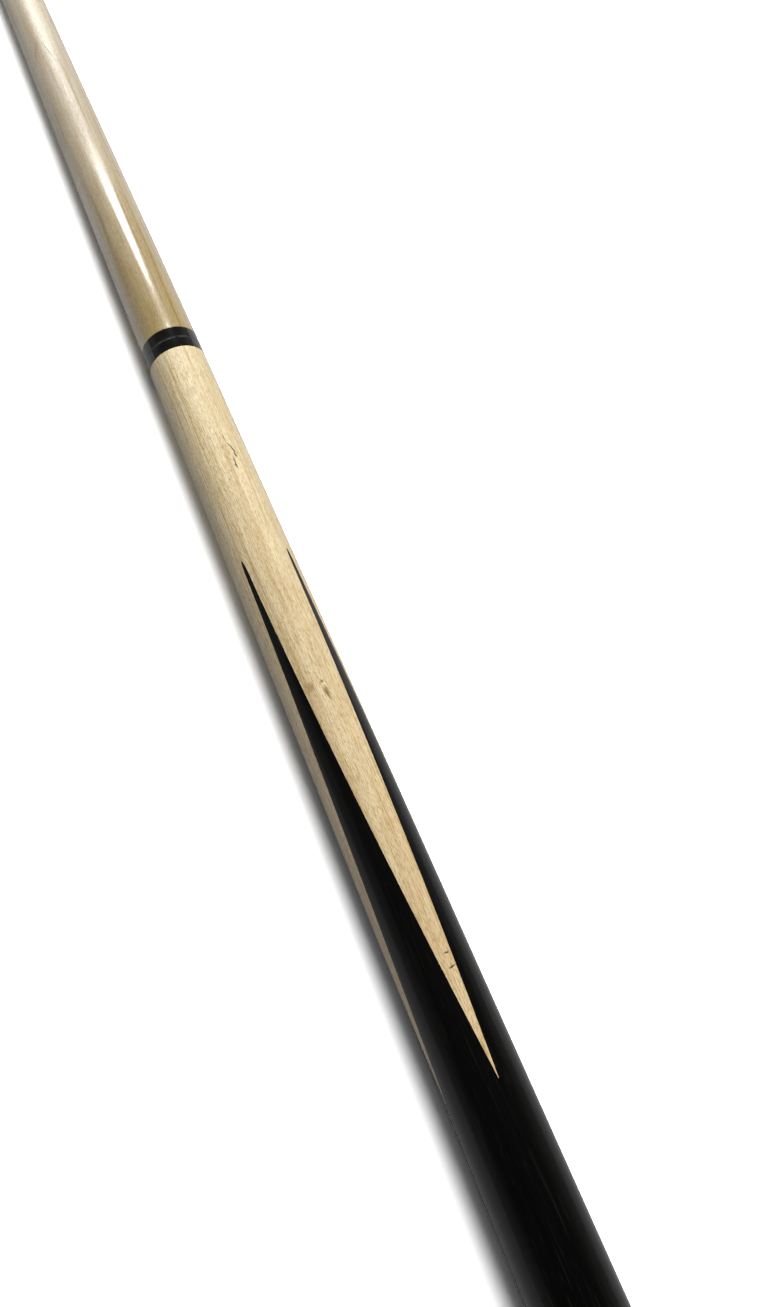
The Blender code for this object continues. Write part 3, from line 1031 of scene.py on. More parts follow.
@dataclass(frozen=True)
class Splice:
    """Law of the four-point splice: how thick the black blades are along it, and how they lean."""

    taper: ButtTaper  # taper of the butt
    joint: float  # place of the joint along the cue
    black_tips: float = 96.0 * MM  # distance of the black points' tips behind the joint
    maple_tips: float = 280.0 * MM  # distance of the maple points' tips behind it
    bow: float = 1.3  # 1 for straight points, more for points that start slower
    roll: float = math.radians(0.5)  # turn of one maple point right of the top line, at the black tips
    lean: float = math.radians(8.5)  # further turn of it by its own tip
    thickness: float = 1.3 * MM  # thickness of the black blades behind their round nose
    nose: float = 6.0 * MM  # length of that nose
    edge: float = 0.05 * MM  # thickness left at the tips of the points
    glue: float = 0.015 * MM  # glue line between black and maple
    nose_steps: int = 12  # sections along the nose
    steps: int = 72  # sections along the rest of the splice
    arc_steps: int = 24  # flats across one point
    halvings: int = 40  # steps of the search for the end of the maple points

    @property
    def length(self) -> float:
        """Length of the splice."""
        return self.maple_tips - self.black_tips

    def station(self, share: float) -> float:
        """Place along the cue of a share of the splice, 0 at the black tips and 1 at the maple tips."""
        return self.joint - self.black_tips - share * self.length

    def turn(self, x: float) -> float:
        """Turn of a section by the points' lean."""
        share = (self.station(0.0) - x) / self.length
        return self.lean * min(max(share, 0.0), 1.0)

    def blade(self, share: float) -> float:
        """Half the thickness of a black blade at a share of the splice.

        Args:
            share: Share of the splice.

        Returns:
            Half the thickness there.
        """
        front, rear = self.thickness / 2, self.taper.radius(self.station(1.0)) / math.sqrt(2)
        from_nose = max(1 - share * self.length / self.nose, 0.0)
        return (front + (rear - front) * share**self.bow) * math.sqrt(1 - from_nose**2)

    def last(self) -> float:
        """Search for the section where the maple fingers are down to their edge.

        Returns:
            The share of the splice there.
        """
        low, high = 0.5, 1.0
        for _ in range(self.halvings):
            share = (low + high) / 2
            height = self.taper.radius(self.station(share)) - math.sqrt(2) * (self.blade(share) + self.glue)
            low, high = (share, high) if height > self.edge else (low, share)
        return low

    def shares(self) -> list[float]:
        """Find the sections from the front of the black blades to the ends of the maple fingers.

        Returns:
            The shares of the splice where they lie, closer together along the nose.
        """
        start = math.asin(self.edge / self.thickness)
        nose, last = self.nose / self.length, self.last()
        turns = [start + (QUARTER - start) * step / self.nose_steps for step in range(self.nose_steps)]
        rest = [nose + (last - nose) * step / self.steps for step in range(self.steps + 1)]
        return [nose * (1 - math.cos(turn)) for turn in turns] + rest

    def ring(self, x: float, radius: float, half: float, corner: Point) -> list[Vector]:
        """Section of a sector: an arc between two corners.

        Args:
            x: Place along the cue.
            radius: Radius of the arc.
            half: Half the angle of the arc.
            corner: Angle and radius of the corner on the right, whose mirror image is on the left.

        Returns:
            The left corner, the arc from left to right and the right corner.
        """
        arc = [(half * (2 * step / self.arc_steps - 1), radius) for step in range(self.arc_steps + 1)]
        spots = [(-corner[0], corner[1]), *arc, corner]
        turned = [(angle + self.turn(x), reach) for angle, reach in spots]
        return [Vector((x, -reach * math.sin(angle), reach * math.cos(angle))) for angle, reach in turned]

    def plain_ring(self, x: float, radius: float, half: float = QUARTER / 2) -> list[Vector]:
        """Section of a quarter of the full round."""
        return self.ring(x, radius, half, (QUARTER / 2, radius))


@dataclass(frozen=True)
class SplicedButt:
    """Black handle and maple forearm, locked together by four points each."""

    splice: Splice  # law of the splice
    cap: Span  # room of the butt cap
    bolt: Span  # room of the weight bolt
    collar: Span  # room of the butt's joint collar
    pin: Span  # room of the joint pin
    black: Finish  # surface of the handle
    maple: Finish  # surface of the forearm
    tenon: float = TENON_RADIUS  # radius of the forearm's tenon in the collar
    wall: float = 3.2 * MM  # wood between the bolt and the cap
    fit: float = FIT  # clearance of hidden fits
    ease: float = 0.12 * MM  # rounding of edges
    lead: float = 0.96 * MM  # plain length ahead of the handle's shoulder
    body_steps: int = 36  # sections along the plain length of a piece
    tail_steps: int = 4  # sections of the handle past the maple points

    def build(self) -> list[Piece]:
        """Make both pieces.

        Returns:
            The handle and the forearm.
        """
        handle = self.repeat("black_handle", self.handle_quarter(), self.black, QUARTER / 2)
        forearm = self.repeat("maple_forearm", self.forearm_quarter(), self.maple, 0.0)
        return [
            Piece(handle, "butt", "handle", "black_hardwood"),
            Piece(forearm, "butt", "forearm", "forearm_maple"),
        ]

    def repeat(self, name: str, quarter: bpy.types.Mesh, finish: Finish, turn: float) -> bpy.types.Object:
        """Set a quarter four times round the axis.

        Args:
            name: Name of the piece.
            quarter: One quarter of it.
            finish: Its surface.
            turn: Turn of the first quarter from the maple point on top.

        Returns:
            The whole piece.
        """
        values = {"Count": POINTS, "Roll": self.splice.roll + turn, "Material": finish.material()}
        return shape_piece(name, quarter, quarters_tree(), values)

    def handle_quarter(self) -> bpy.types.Mesh:
        """Make a quarter of the handle: one blade, the body behind it, the tenon and the bolt's bore.

        Returns:
            The quarter round the top line.
        """
        splice, taper = self.splice, self.splice.taper
        shares = splice.shares()
        rings = [splice.plain_ring(splice.station(shares[0]), 0.0)]
        last = shares[-1]
        shares += [last + (1 - last) * step / self.tail_steps for step in range(1, self.tail_steps + 1)]
        for share in shares:
            x, blade = splice.station(share), splice.blade(share)
            radius = taper.radius(x)
            half = math.asin(min(blade / radius, math.sqrt(0.5)))
            rings.append(splice.ring(x, radius, half, (QUARTER / 2, blade * math.sqrt(2))))
        rear, shoulder = splice.station(1.0), self.cap.front + SEAM
        for step in range(1, self.body_steps):
            x = rear + (shoulder - rear) * step / self.body_steps
            rings.append(splice.plain_ring(x, taper.radius(x)))
        bore = self.bolt.radius + self.fit
        tenon = bore + self.wall
        ahead, bore_end = shoulder + self.lead, self.bolt.front + self.fit
        corners = [(ahead, taper.radius(ahead)), (shoulder, taper.radius(shoulder)), (shoulder, tenon)]
        corners += [(self.bolt.rear, tenon), (self.bolt.rear, bore), (bore_end, bore), (bore_end, 0.0)]
        rings += [splice.plain_ring(x, radius) for x, radius in eased(corners, self.ease)]
        return self.skin("handle_quarter", [rings])

    def forearm_quarter(self) -> bpy.types.Mesh:
        """Make a quarter of the forearm: the pin's bore, the tenon, the body and one finger.

        Returns:
            The quarter round the top line.
        """
        splice, taper = self.splice, self.splice.taper
        shares = splice.shares()
        slot = splice.blade(shares[0]) + splice.glue
        root = splice.station(shares[0]) + splice.glue
        wide = QUARTER / 2 - math.asin(slot / taper.radius(root))
        bore, bore_end = self.pin.radius + self.fit, self.pin.rear - self.fit
        face, shoulder = self.collar.front, self.collar.rear - SEAM
        corners = [(bore_end, 0.0), (bore_end, bore), (face, bore), (face, self.tenon)]
        corners += [(shoulder, self.tenon), (shoulder, taper.radius(shoulder)), (root, taper.radius(root))]
        turned = eased(corners, self.ease)
        last = turned.pop()
        behind = turned[-1][0]
        for step in range(1, self.body_steps + 1):
            x = behind + (last[0] - behind) * step / self.body_steps
            turned.append((x, taper.radius(x)))
        body = [splice.plain_ring(x, radius, wide) for x, radius in turned]
        finger = []
        for share in shares:
            x = root if share == shares[0] else splice.station(share)
            floor = splice.blade(share) + splice.glue
            radius = taper.radius(x)
            half = QUARTER / 2 - math.asin(floor / radius)
            finger.append(splice.ring(x, radius, half, (0.0, floor * math.sqrt(2))))
        end = finger[-1]
        finger.append([end[0]] * len(end))
        root_ring, finger_ring = body[-1], finger[0]
        axis = Vector((root, 0.0, 0.0))
        left = [[axis, root_ring[0]], [finger_ring[0], root_ring[1]]]
        right = [[axis, root_ring[-1]], [finger_ring[-1], root_ring[-2]]]
        return self.skin("forearm_quarter", [body, finger, left, right])

    def skin(self, name: str, strips: Sequence[Sequence[Sequence[Vector]]]) -> bpy.types.Mesh:
        """Skin rows of sections, each row with the same number of points all along.

        Args:
            name: Name of the mesh.
            strips: The rows of sections.

        Returns:
            The mesh, open where the next quarters join it.
        """
        builder = bmesh.new()
        for rings in strips:
            rows = [[builder.verts.new(spot) for spot in ring] for ring in rings]
            for near, far in zip(rows, rows[1:]):
                for left in range(len(near) - 1):
                    builder.faces.new((near[left], near[left + 1], far[left + 1], far[left]))
        mesh = bpy.data.meshes.new(name)
        builder.to_mesh(mesh)
        builder.free()
        return mesh


@dataclass(frozen=True)
class ScrewJoint:
    """Collars on both faces of the joint, the threaded pin and the insert that runs on it."""

    taper: ButtTaper  # taper of the butt
    shaft_taper: ShaftTaper  # taper of the shaft
    butt_collar: Span  # room of the butt's collar
    shaft_collar: Span  # room of the shaft's collar
    pin: Span  # room of the pin
    insert: Span  # room of the insert
    resin: Finish  # surface of the collars
    stainless: Finish  # surface of the pin
    brass: Finish  # surface of the insert
    bore: float = TENON_RADIUS + FIT  # radius of the collars' bore
    chamfer: float = 0.10 * MM  # of the collars at the parting line
    ease: float = 0.06 * MM  # rounding of the collars' edges
    pin_ease: float = 0.24 * MM  # rounding of the pin's rear edge
    insert_ease: float = 0.12 * MM  # rounding of the insert's edges
    thread: Thread = Thread(pitch=INCH / 18, depth=0.80 * MM)  # of the pin
    insert_thread: Thread = Thread(pitch=INCH / 18, depth=-0.55 * MM)  # in the insert
    insert_clearance: float = 0.06 * MM  # between the pin's crests and the insert's bore
    nose: float = 2.6 * MM  # length of the pin's nose
    nose_radius: float = 2.8 * MM  # radius of its front
    nose_ease: float = 0.48 * MM  # rounding of its edge

    def build(self) -> list[Piece]:
        """Make the four pieces.

        Returns:
            The two collars, the pin and the insert.
        """
        fall = self.shaft_taper.slope * (self.shaft_collar.front - self.shaft_taper.joint)
        slimmer = self.shaft_taper.joint_radius - fall
        butt_ring = self.collar("butt_ring", self.butt_collar.rear, self.butt_collar.radius)
        shaft_ring = self.collar("shaft_ring", self.shaft_collar.front, slimmer)
        return [
            Piece(butt_ring, "butt", "butt_collar", "collar_resin"),
            Piece(shaft_ring, "shaft", "shaft_collar", "collar_resin"),
            Piece(self.threaded_pin(), "butt", "joint_pin", "stainless_pin"),
            Piece(self.threaded_insert(), "insert", "shaft_insert", "insert_brass"),
        ]

    def collar(self, name: str, shoulder: float, outer: float) -> bpy.types.Object:
        """Make one collar, chamfered at the parting line.

        Args:
            name: Name of the piece.
            shoulder: Place of its end away from the joint.
            outer: Radius at that end.

        Returns:
            The collar.
        """
        joint = self.shaft_taper.joint
        side = math.copysign(1.0, shoulder - joint)
        face, radius = joint + side * SEAM, self.taper.radius(joint)
        corners = [(face, self.bore), (face, radius - self.chamfer), (face + side * self.chamfer, radius)]
        corners += [(shoulder, outer), (shoulder, self.bore)]
        return turn_piece(name, Outline().run(eased(corners, self.ease, closed=True)), self.resin)

    def threaded_pin(self) -> bpy.types.Object:
        """Make the pin, with its thread and a rounded nose.

        Returns:
            The pin.
        """
        rear, front, radius = self.pin.rear, self.pin.front, self.pin.radius
        start, base = rear + self.thread.pitch, front - self.nose
        heel = [(rear, 0.0), (rear, radius), (start, radius)]
        nose = [(base, radius), (front, self.nose_radius), (front, 0.0)]
        outline = Outline().run(eased(heel, self.pin_ease)[:-1])
        outline.run(*self.thread.points(start, base, radius))
        outline.run(eased(nose, self.nose_ease)[1:])
        return turn_piece(
            "stainless_pin", outline, self.stainless, Rule.THREAD, THREAD_FLATS, self.thread.sizes
        )

    def threaded_insert(self) -> bpy.types.Object:
        """Make the insert, a brass sleeve with a thread in its bore.

        Returns:
            The insert.
        """
        thread, bore = self.insert_thread, self.pin.radius + self.insert_clearance
        rear, front, radius = self.insert.rear, self.insert.front, self.insert.radius
        lead = thread.pitch / 2
        outside = [(rear + lead, bore), (rear, bore + lead / 2), (rear, radius)]
        outside += [(front, radius), (front, bore), (front - lead, bore)]
        points, weights = thread.points(front - lead, rear + lead, bore)
        outline = Outline().run(eased(outside, self.insert_ease)).run(points[1:], weights[1:])
        return turn_piece("brass_insert", outline, self.brass, Rule.THREAD, THREAD_FLATS, thread.sizes)


@dataclass(frozen=True)
class Shaft:
    """Tapered maple shaft with its ferrule, fibre pad and leather tip."""

    taper: ShaftTaper  # taper of the shaft
    shaft: Span  # room of the shaft
    collar: Span  # room of the shaft's collar
    insert: Span  # room of the insert
    ferrule: Span  # room of the ferrule
    pad: Span  # room of the pad
    tip: Span  # room of the tip
    maple: Finish  # surface of the shaft
    resin: Finish  # surface of the ferrule
    fibre: Finish  # surface of the pad
    leather: Finish  # surface of the tip
    tenon: float = TENON_RADIUS  # radius of the tenon in the collar
    ferrule_tenon: float = 4.35 * MM  # radius of the tenon in the ferrule
    fit: float = FIT  # clearance of hidden fits
    ease: float = 0.12 * MM  # rounding of edges
    lead: float = 0.96 * MM  # plain length at each end of the taper
    crown_radius: float = 10.6 * MM  # radius of the tip's crown
    crown_edge: float = 0.45 * MM  # rounding of the tip's worn edge
    taper_steps: int = 120  # sections along the taper
    crown_steps: int = 20  # sections of the crown
    flats: int = 128  # flats round the shaft

    def build(self) -> list[Piece]:
        """Make the four pieces.

        Returns:
            The shaft, the ferrule, the pad and the tip.
        """
        return [
            Piece(self.tapered_shaft(), "shaft", "shaft", "shaft_maple"),
            Piece(self.white_ferrule(), "shaft", "ferrule", "ferrule_resin"),
            Piece(self.fibre_pad(), "shaft", "tip_pad", "pad_fibre"),
            Piece(self.leather_tip(), "shaft", "tip", "tip_leather"),
        ]

    def tapered_shaft(self) -> bpy.types.Object:
        """Make the shaft between its two tenons, with the insert's bore.

        Returns:
            The shaft.
        """
        bore, bore_end = self.insert.radius + self.fit, self.insert.front + self.fit
        face, shoulder, front = self.collar.rear, self.collar.front + SEAM, self.ferrule.rear - SEAM
        wide, slim = self.collar.radius, self.ferrule.radius
        start, end = shoulder + self.lead, front - self.lead
        near = [(bore_end, 0.0), (bore_end, bore), (face, bore), (face, self.tenon)]
        near += [(shoulder, self.tenon), (shoulder, wide), (start, wide)]
        far = [(end, slim), (front, slim), (front, self.ferrule_tenon)]
        far += [(self.shaft.front, self.ferrule_tenon), (self.shaft.front, 0.0)]
        places = [start + (end - start) * step / self.taper_steps for step in range(self.taper_steps + 1)]
        outline = Outline().run(eased(near, self.ease)[:-1])
        outline.run([(x, slim) for x in places], [1.0] * len(places))
        outline.run(eased(far, self.ease)[1:])
        return turn_piece("maple_shaft", outline, self.maple, Rule.TAPER, self.flats, self.taper.sizes)

    def white_ferrule(self) -> bpy.types.Object:
        """Make the ferrule, a cup on the shaft's tenon.

        Returns:
            The ferrule.
        """
        bore, bore_end = self.ferrule_tenon + self.fit, self.shaft.front + self.fit
        rear, front, radius = self.ferrule.rear, self.ferrule.front, self.ferrule.radius
        corners = [(bore_end, 0.0), (bore_end, bore), (rear, bore), (rear, radius)]
        corners += [(front, radius), (front, 0.0)]
        return turn_piece("white_ferrule", Outline().run(eased(corners, self.ease)), self.resin)

    def fibre_pad(self) -> bpy.types.Object:
        """Make the pad between the ferrule and the tip.

        Returns:
            The pad.
        """
        rear, front = self.ferrule.front + SEAM, self.tip.rear - SEAM
        corners = [(rear, 0.0), (rear, self.pad.radius), (front, self.pad.radius), (front, 0.0)]
        return turn_piece("fibre_pad", Outline().run(eased(corners, self.ease)), self.fibre)

    def leather_tip(self) -> bpy.types.Object:
        """Make the tip: a straight side, a worn edge and a round crown.

        Returns:
            The tip.
        """
        rear, radius, crown = self.tip.rear, self.tip.radius, self.crown_radius
        centre = self.tip.front - crown
        edge = math.asin((radius - self.crown_edge) / crown)
        angles = [edge * (1 - step / self.crown_steps) for step in range(self.crown_steps + 1)]
        dome = [(centre + crown * math.cos(angle), crown * math.sin(angle)) for angle in angles]
        low = centre + crown * math.cos(math.asin(radius / crown))
        side = [(rear, 0.0), (rear, radius), (low, radius), dome[0]]
        outline = Outline().run(eased(side, self.crown_edge)[:-1]).run(dome)
        return turn_piece("leather_tip", outline, self.leather)


@dataclass(frozen=True)
class ButtEnd:
    """Rubber bumper on its stud, the butt cap and the weight bolt."""

    taper: ButtTaper  # taper of the butt
    bumper: Span  # room of the bumper
    stud: Span  # room of the stud
    cap: Span  # room of the cap
    bolt: Span  # room of the weight bolt
    rubber: Finish  # surface of the bumper
    plated: Finish  # surface of the stud
    resin: Finish  # surface of the cap
    steel: Finish  # surface of the bolt
    fit: float = FIT  # clearance of hidden fits
    ease: float = 0.15 * MM  # rounding of edges
    length: float = 12.0 * MM  # of the bumper outside the cap
    face_radius: float = 12.5 * MM  # radius of the bumper's rear face
    face_edge: float = 3.0 * MM  # rounding of that face
    face_steps: int = 14  # steps of that rounding
    neck_radius: float = 8.5 * MM  # radius of the bumper's neck in the cap
    cap_edge: float = 1.5 * MM  # rounding of the cap's rear edge
    cap_steps: int = 10  # steps of that rounding
    cap_web: float = 5.0 * MM  # wall of the cap behind the handle
    cap_tenon: float = 9.85 * MM  # radius of the handle's tenon in the cap
    shank: float = 3.175 * MM  # radius of the stud's shank
    stud_head: float = 2.4 * MM  # thickness of the stud's head
    stud_grip: float = 15.0 * MM  # length of the stud in the bolt
    stud_flats: int = 40  # flats round the stud
    stud_thread: Thread = Thread(pitch=INCH / 20, depth=0.6 * MM)
    bolt_thread: Thread = Thread(pitch=INCH / 13, depth=1.0 * MM)

    def build(self) -> list[Piece]:
        """Make the four pieces.

        Returns:
            The bumper, the stud, the cap and the weight bolt.
        """
        return [
            Piece(self.rubber_bumper(), "butt", "bumper", "bumper_rubber"),
            Piece(self.threaded_stud(), "butt", "bumper_stud", "plated_steel"),
            Piece(self.black_cap(), "butt", "butt_cap", "cap_resin"),
            Piece(self.threaded_bolt(), "butt", "weight_bolt", "bolt_steel"),
        ]

    def rubber_bumper(self) -> bpy.types.Object:
        """Make the bumper, with a round edge, a neck in the cap and the pocket of the stud's head.

        Returns:
            The bumper.
        """
        head, bore = self.stud.radius + self.fit, self.shank + self.fit
        head_rear, head_front = self.stud.rear - self.fit, self.stud.rear + self.stud_head + self.fit
        front, neck, rim = self.bumper.front, self.neck_radius, (self.length, self.bumper.radius)
        face = [(0.0, 0.0), (0.0, self.face_radius), rim]
        outline = Outline().run(eased(face, self.face_edge, steps=self.face_steps)[:-1])
        rest = [outline.points[-1], rim, (self.length, neck), (front, neck), (front, bore)]
        rest += [(head_front, bore), (head_front, head), (head_rear, head), (head_rear, 0.0)]
        outline.run(eased(rest, self.ease)[1:])
        return turn_piece("rubber_bumper", outline, self.rubber)

    def threaded_stud(self) -> bpy.types.Object:
        """Make the stud, a flat head and a threaded shank.

        Returns:
            The stud.
        """
        thread, head, shank = self.stud_thread, self.stud.radius, self.shank
        rear, front = self.stud.rear, self.stud.front
        neck, start = rear + self.stud_head, front - self.stud_grip
        corners = [(rear, 0.0), (rear, head), (neck, head), (neck, shank), (start, shank)]
        outline = Outline().run(eased(corners, self.ease)[:-1])
        outline.run(*thread.points(start, front, shank)).run([(front, 0.0)])
        return turn_piece("plated_stud", outline, self.plated, Rule.THREAD, self.stud_flats, thread.sizes)

    def black_cap(self) -> bpy.types.Object:
        """Make the cap, a cup with a round rear edge.

        Returns:
            The cap.
        """
        rear, front = self.cap.rear, self.cap.front
        neck, web, tenon = self.neck_radius + self.fit, rear + self.cap_web, self.cap_tenon + self.fit
        heel, brow = (rear, self.taper.radius(rear)), (front, self.taper.radius(front))
        inside = [(front, tenon), (web, tenon), (web, neck), (rear, neck), heel]
        outline = Outline().run(eased(inside, self.ease)[:-1])
        outline.run(eased([inside[-2], heel, brow], self.cap_edge, steps=self.cap_steps)[1:-1])
        outline.run(eased([heel, brow, inside[0]], self.ease)[1:])
        return turn_piece("black_cap", outline, self.resin)

    def threaded_bolt(self) -> bpy.types.Object:
        """Make the weight bolt, threaded outside and bored for the stud.

        Returns:
            The bolt.
        """
        thread, bore = self.bolt_thread, self.shank + self.fit
        rear, front, radius = self.bolt.rear, self.bolt.front, self.bolt.radius
        socket, start = rear + self.stud_grip + self.fit, rear + thread.pitch
        corners = [(socket, 0.0), (socket, bore), (rear, bore), (rear, radius), (start, radius)]
        outline = Outline().run(eased(corners, self.ease)[:-1])
        outline.run(*thread.points(start, front, radius)).run([(front, 0.0)])
        return turn_piece("steel_weight_bolt", outline, self.steel, Rule.THREAD, THREAD_FLATS, thread.sizes)


# Stage

@dataclass(frozen=True)
class PaleFloor(Finish):
    """White painted board: matt and even, so that it shows the cue's shadow and nothing else."""

    body: float = 0.25  # share of light that it sends back on to the cue
    mirrored: float = 0.60  # its share in reflections
    shown: float = 2.1  # its share in the picture, where it is plain white

    def tone(self, tree: Tree) -> object:
        """Show the board white to the camera and in gloss, and pale to the light that it bounces.

        Args:
            tree: The material's tree.

        Returns:
            The node that gives its colour.
        """
        ray = add_node(tree, "ShaderNodeLightPath").outputs
        white = Vector(linear(self.ground)[:3])
        shares = {
            "Is Glossy Ray": self.mirrored,
            "Is Transmission Ray": self.mirrored,
            "Is Camera Ray": self.shown,
        }
        tone: object = (*white * self.body, 1.0)
        for kind, share in shares.items():
            tone = add_node(tree, "ShaderNodeMix", {
                "Factor": ray[kind], "A": tone, "B": (*white * share, 1.0),
            }, data_type="RGBA")
        return tone

    def shine(self) -> dict[str, object]:
        """Matt paint."""
        return {"Roughness": 1.0, "Specular IOR Level": 0.0}


@dataclass(frozen=True)
class Studio:
    """Floor under the cue, the lamps ahead of it and the pale surround. Angles are in degrees."""

    heel: Span  # room of the butt cap, which rests on the floor
    toe: Span  # room of the tip, which rests on it too
    joint: float  # place of the joint along the cue
    floor_size: float = 24.0  # side of the floor
    panel_power: float = 8.2  # watts of the soft panel
    panel_distance: float = 1.3  # of the panel from the joint
    panel_size: Point = (0.56, 0.42)  # breadth and height of its oval
    panel_azimuth: float = 8.5  # right of straight ahead
    panel_elevation: float = 36.5  # above the floor
    sky_strength: float = 4.2  # of the broad light
    sky_distance: float = 3.0  # of its lamp from the joint
    sky_angle: float = 30.0  # its breadth
    sky_azimuth: float = 18.5  # right of straight ahead
    sky_elevation: float = 36.0  # above the floor
    horizon: str = "80817f"  # tone of the surround near the floor
    ceiling: str = "2b2c2e"  # tone of the surround overhead
    backdrop: str = "ffffff"  # tone of the surround in the picture
    horizon_top: float = 12.0  # height where the horizon starts to darken
    ceiling_start: float = 36.0  # height where the ceiling is full

    def build(self) -> None:
        """Make the floor, the lamps and the surround."""
        self.floor()
        self.panel()
        self.sky()
        self.surround()

    def floor(self) -> None:
        """Lay the floor against the cap and the tip."""
        drop = self.heel.radius - self.toe.radius
        slope = math.atan2(drop, self.toe.front - self.heel.rear)
        half = self.floor_size / 2
        mesh = bpy.data.meshes.new("floor")
        corners = [(-half, -half, 0), (half, -half, 0), (half, half, 0), (-half, half, 0)]
        mesh.from_pydata(corners, [], [(0, 1, 2, 3)])
        heel = Matrix.Translation((self.heel.rear, 0.0, -self.heel.radius))
        mesh.transform(heel @ Matrix.Rotation(-slope, 4, "Y"))
        # White painted board: plain and matt, with the cue's soft shadow on it.
        mesh.materials.append(PaleFloor("painted_white_board", "ffffff").material())
        board = bpy.data.objects.new("floor", mesh)
        bpy.context.scene.collection.objects.link(board)

    def hang(
        self, lamp: bpy.types.Light, azimuth: float, elevation: float, distance: float
    ) -> bpy.types.Object:
        """Hang a lamp that shines at the joint and doesn't show in the picture.

        Args:
            lamp: The lamp.
            azimuth: Degrees right of straight ahead.
            elevation: Degrees above the floor.
            distance: Its distance from the joint.

        Returns:
            The lamp in its place.
        """
        turn, rise = math.radians(azimuth), math.radians(elevation)
        toward = Vector((math.cos(turn) * math.cos(rise), -math.sin(turn) * math.cos(rise), math.sin(rise)))
        hung = bpy.data.objects.new(lamp.name, lamp)
        hung.location = Vector((self.joint, 0.0, 0.0)) + toward * distance
        hung.rotation_euler = toward.to_track_quat("Z", "Y").to_euler()
        hung.visible_camera = False
        bpy.context.scene.collection.objects.link(hung)
        return hung

    def panel(self) -> None:
        """Hang the soft panel ahead of the cue, whose reflection is the streak on the shaft."""
        lamp = bpy.data.lights.new("front_panel", "AREA")
        lamp.shape = "ELLIPSE"
        lamp.size, lamp.size_y = self.panel_size
        lamp.energy = self.panel_power
        self.hang(lamp, self.panel_azimuth, self.panel_elevation, self.panel_distance)

    def sky(self) -> None:
        """Hang the broad light ahead and to the right, which leaves no reflection."""
        lamp = bpy.data.lights.new("broad_light", "SUN")
        lamp.angle = math.radians(self.sky_angle)
        lamp.energy = self.sky_strength
        self.hang(lamp, self.sky_azimuth, self.sky_elevation, self.sky_distance).visible_glossy = False

    def surround(self) -> None:
        """Make the surround pale at the horizon, dark overhead and white in the picture."""
        world = bpy.data.worlds.new("studio_surround")
        bpy.context.scene.world = world
        world.use_nodes = True
        tree = world.node_tree
        tree.nodes.clear()
        toward = add_node(tree, "ShaderNodeTexCoord").outputs["Generated"]
        height = add_node(tree, "ShaderNodeSeparateXYZ", {"Vector": toward}).outputs["Z"]
        low, high = (math.sin(math.radians(angle)) for angle in (self.horizon_top, self.ceiling_start))
        dark = add_node(tree, MAP_RANGE, (height, low, high), interpolation_type="SMOOTHSTEP")
        seen = add_node(tree, "ShaderNodeLightPath").outputs["Is Camera Ray"]
        tone: object = linear(self.horizon)
        for share, code in ((dark, self.ceiling), (seen, self.backdrop)):
            tone = add_node(tree, "ShaderNodeMix", {
                "Factor": share, "A": tone, "B": linear(code),
            }, data_type="RGBA")
        shine = add_node(tree, "ShaderNodeBackground", {"Color": tone, "Strength": 1.0})
        add_node(tree, "ShaderNodeOutputWorld", {"Surface": shine})


@dataclass(frozen=True)
class PhotoCamera:
    """Camera above the butt that looks ahead along the cue."""

    place: tuple[float, float, float] = (0.42528, 0.083924, 0.380198)  # in metres
    turn: tuple[float, float, float] = (27.6362, -5.5455, -112.5028)  # in degrees
    focal: float = 35.81  # millimetres, for a picture whose long side is 36 mm
    nearest: float = 0.01  # nearest distance that it shows

    def build(self) -> None:
        """Set up the camera."""
        lens = bpy.data.cameras.new("photo_camera")
        lens.lens = self.focal
        lens.clip_start = self.nearest
        camera = bpy.data.objects.new("photo_camera", lens)
        camera.location = self.place
        camera.rotation_euler = Euler([math.radians(angle) for angle in self.turn])
        bpy.context.scene.collection.objects.link(camera)
        bpy.context.scene.camera = camera


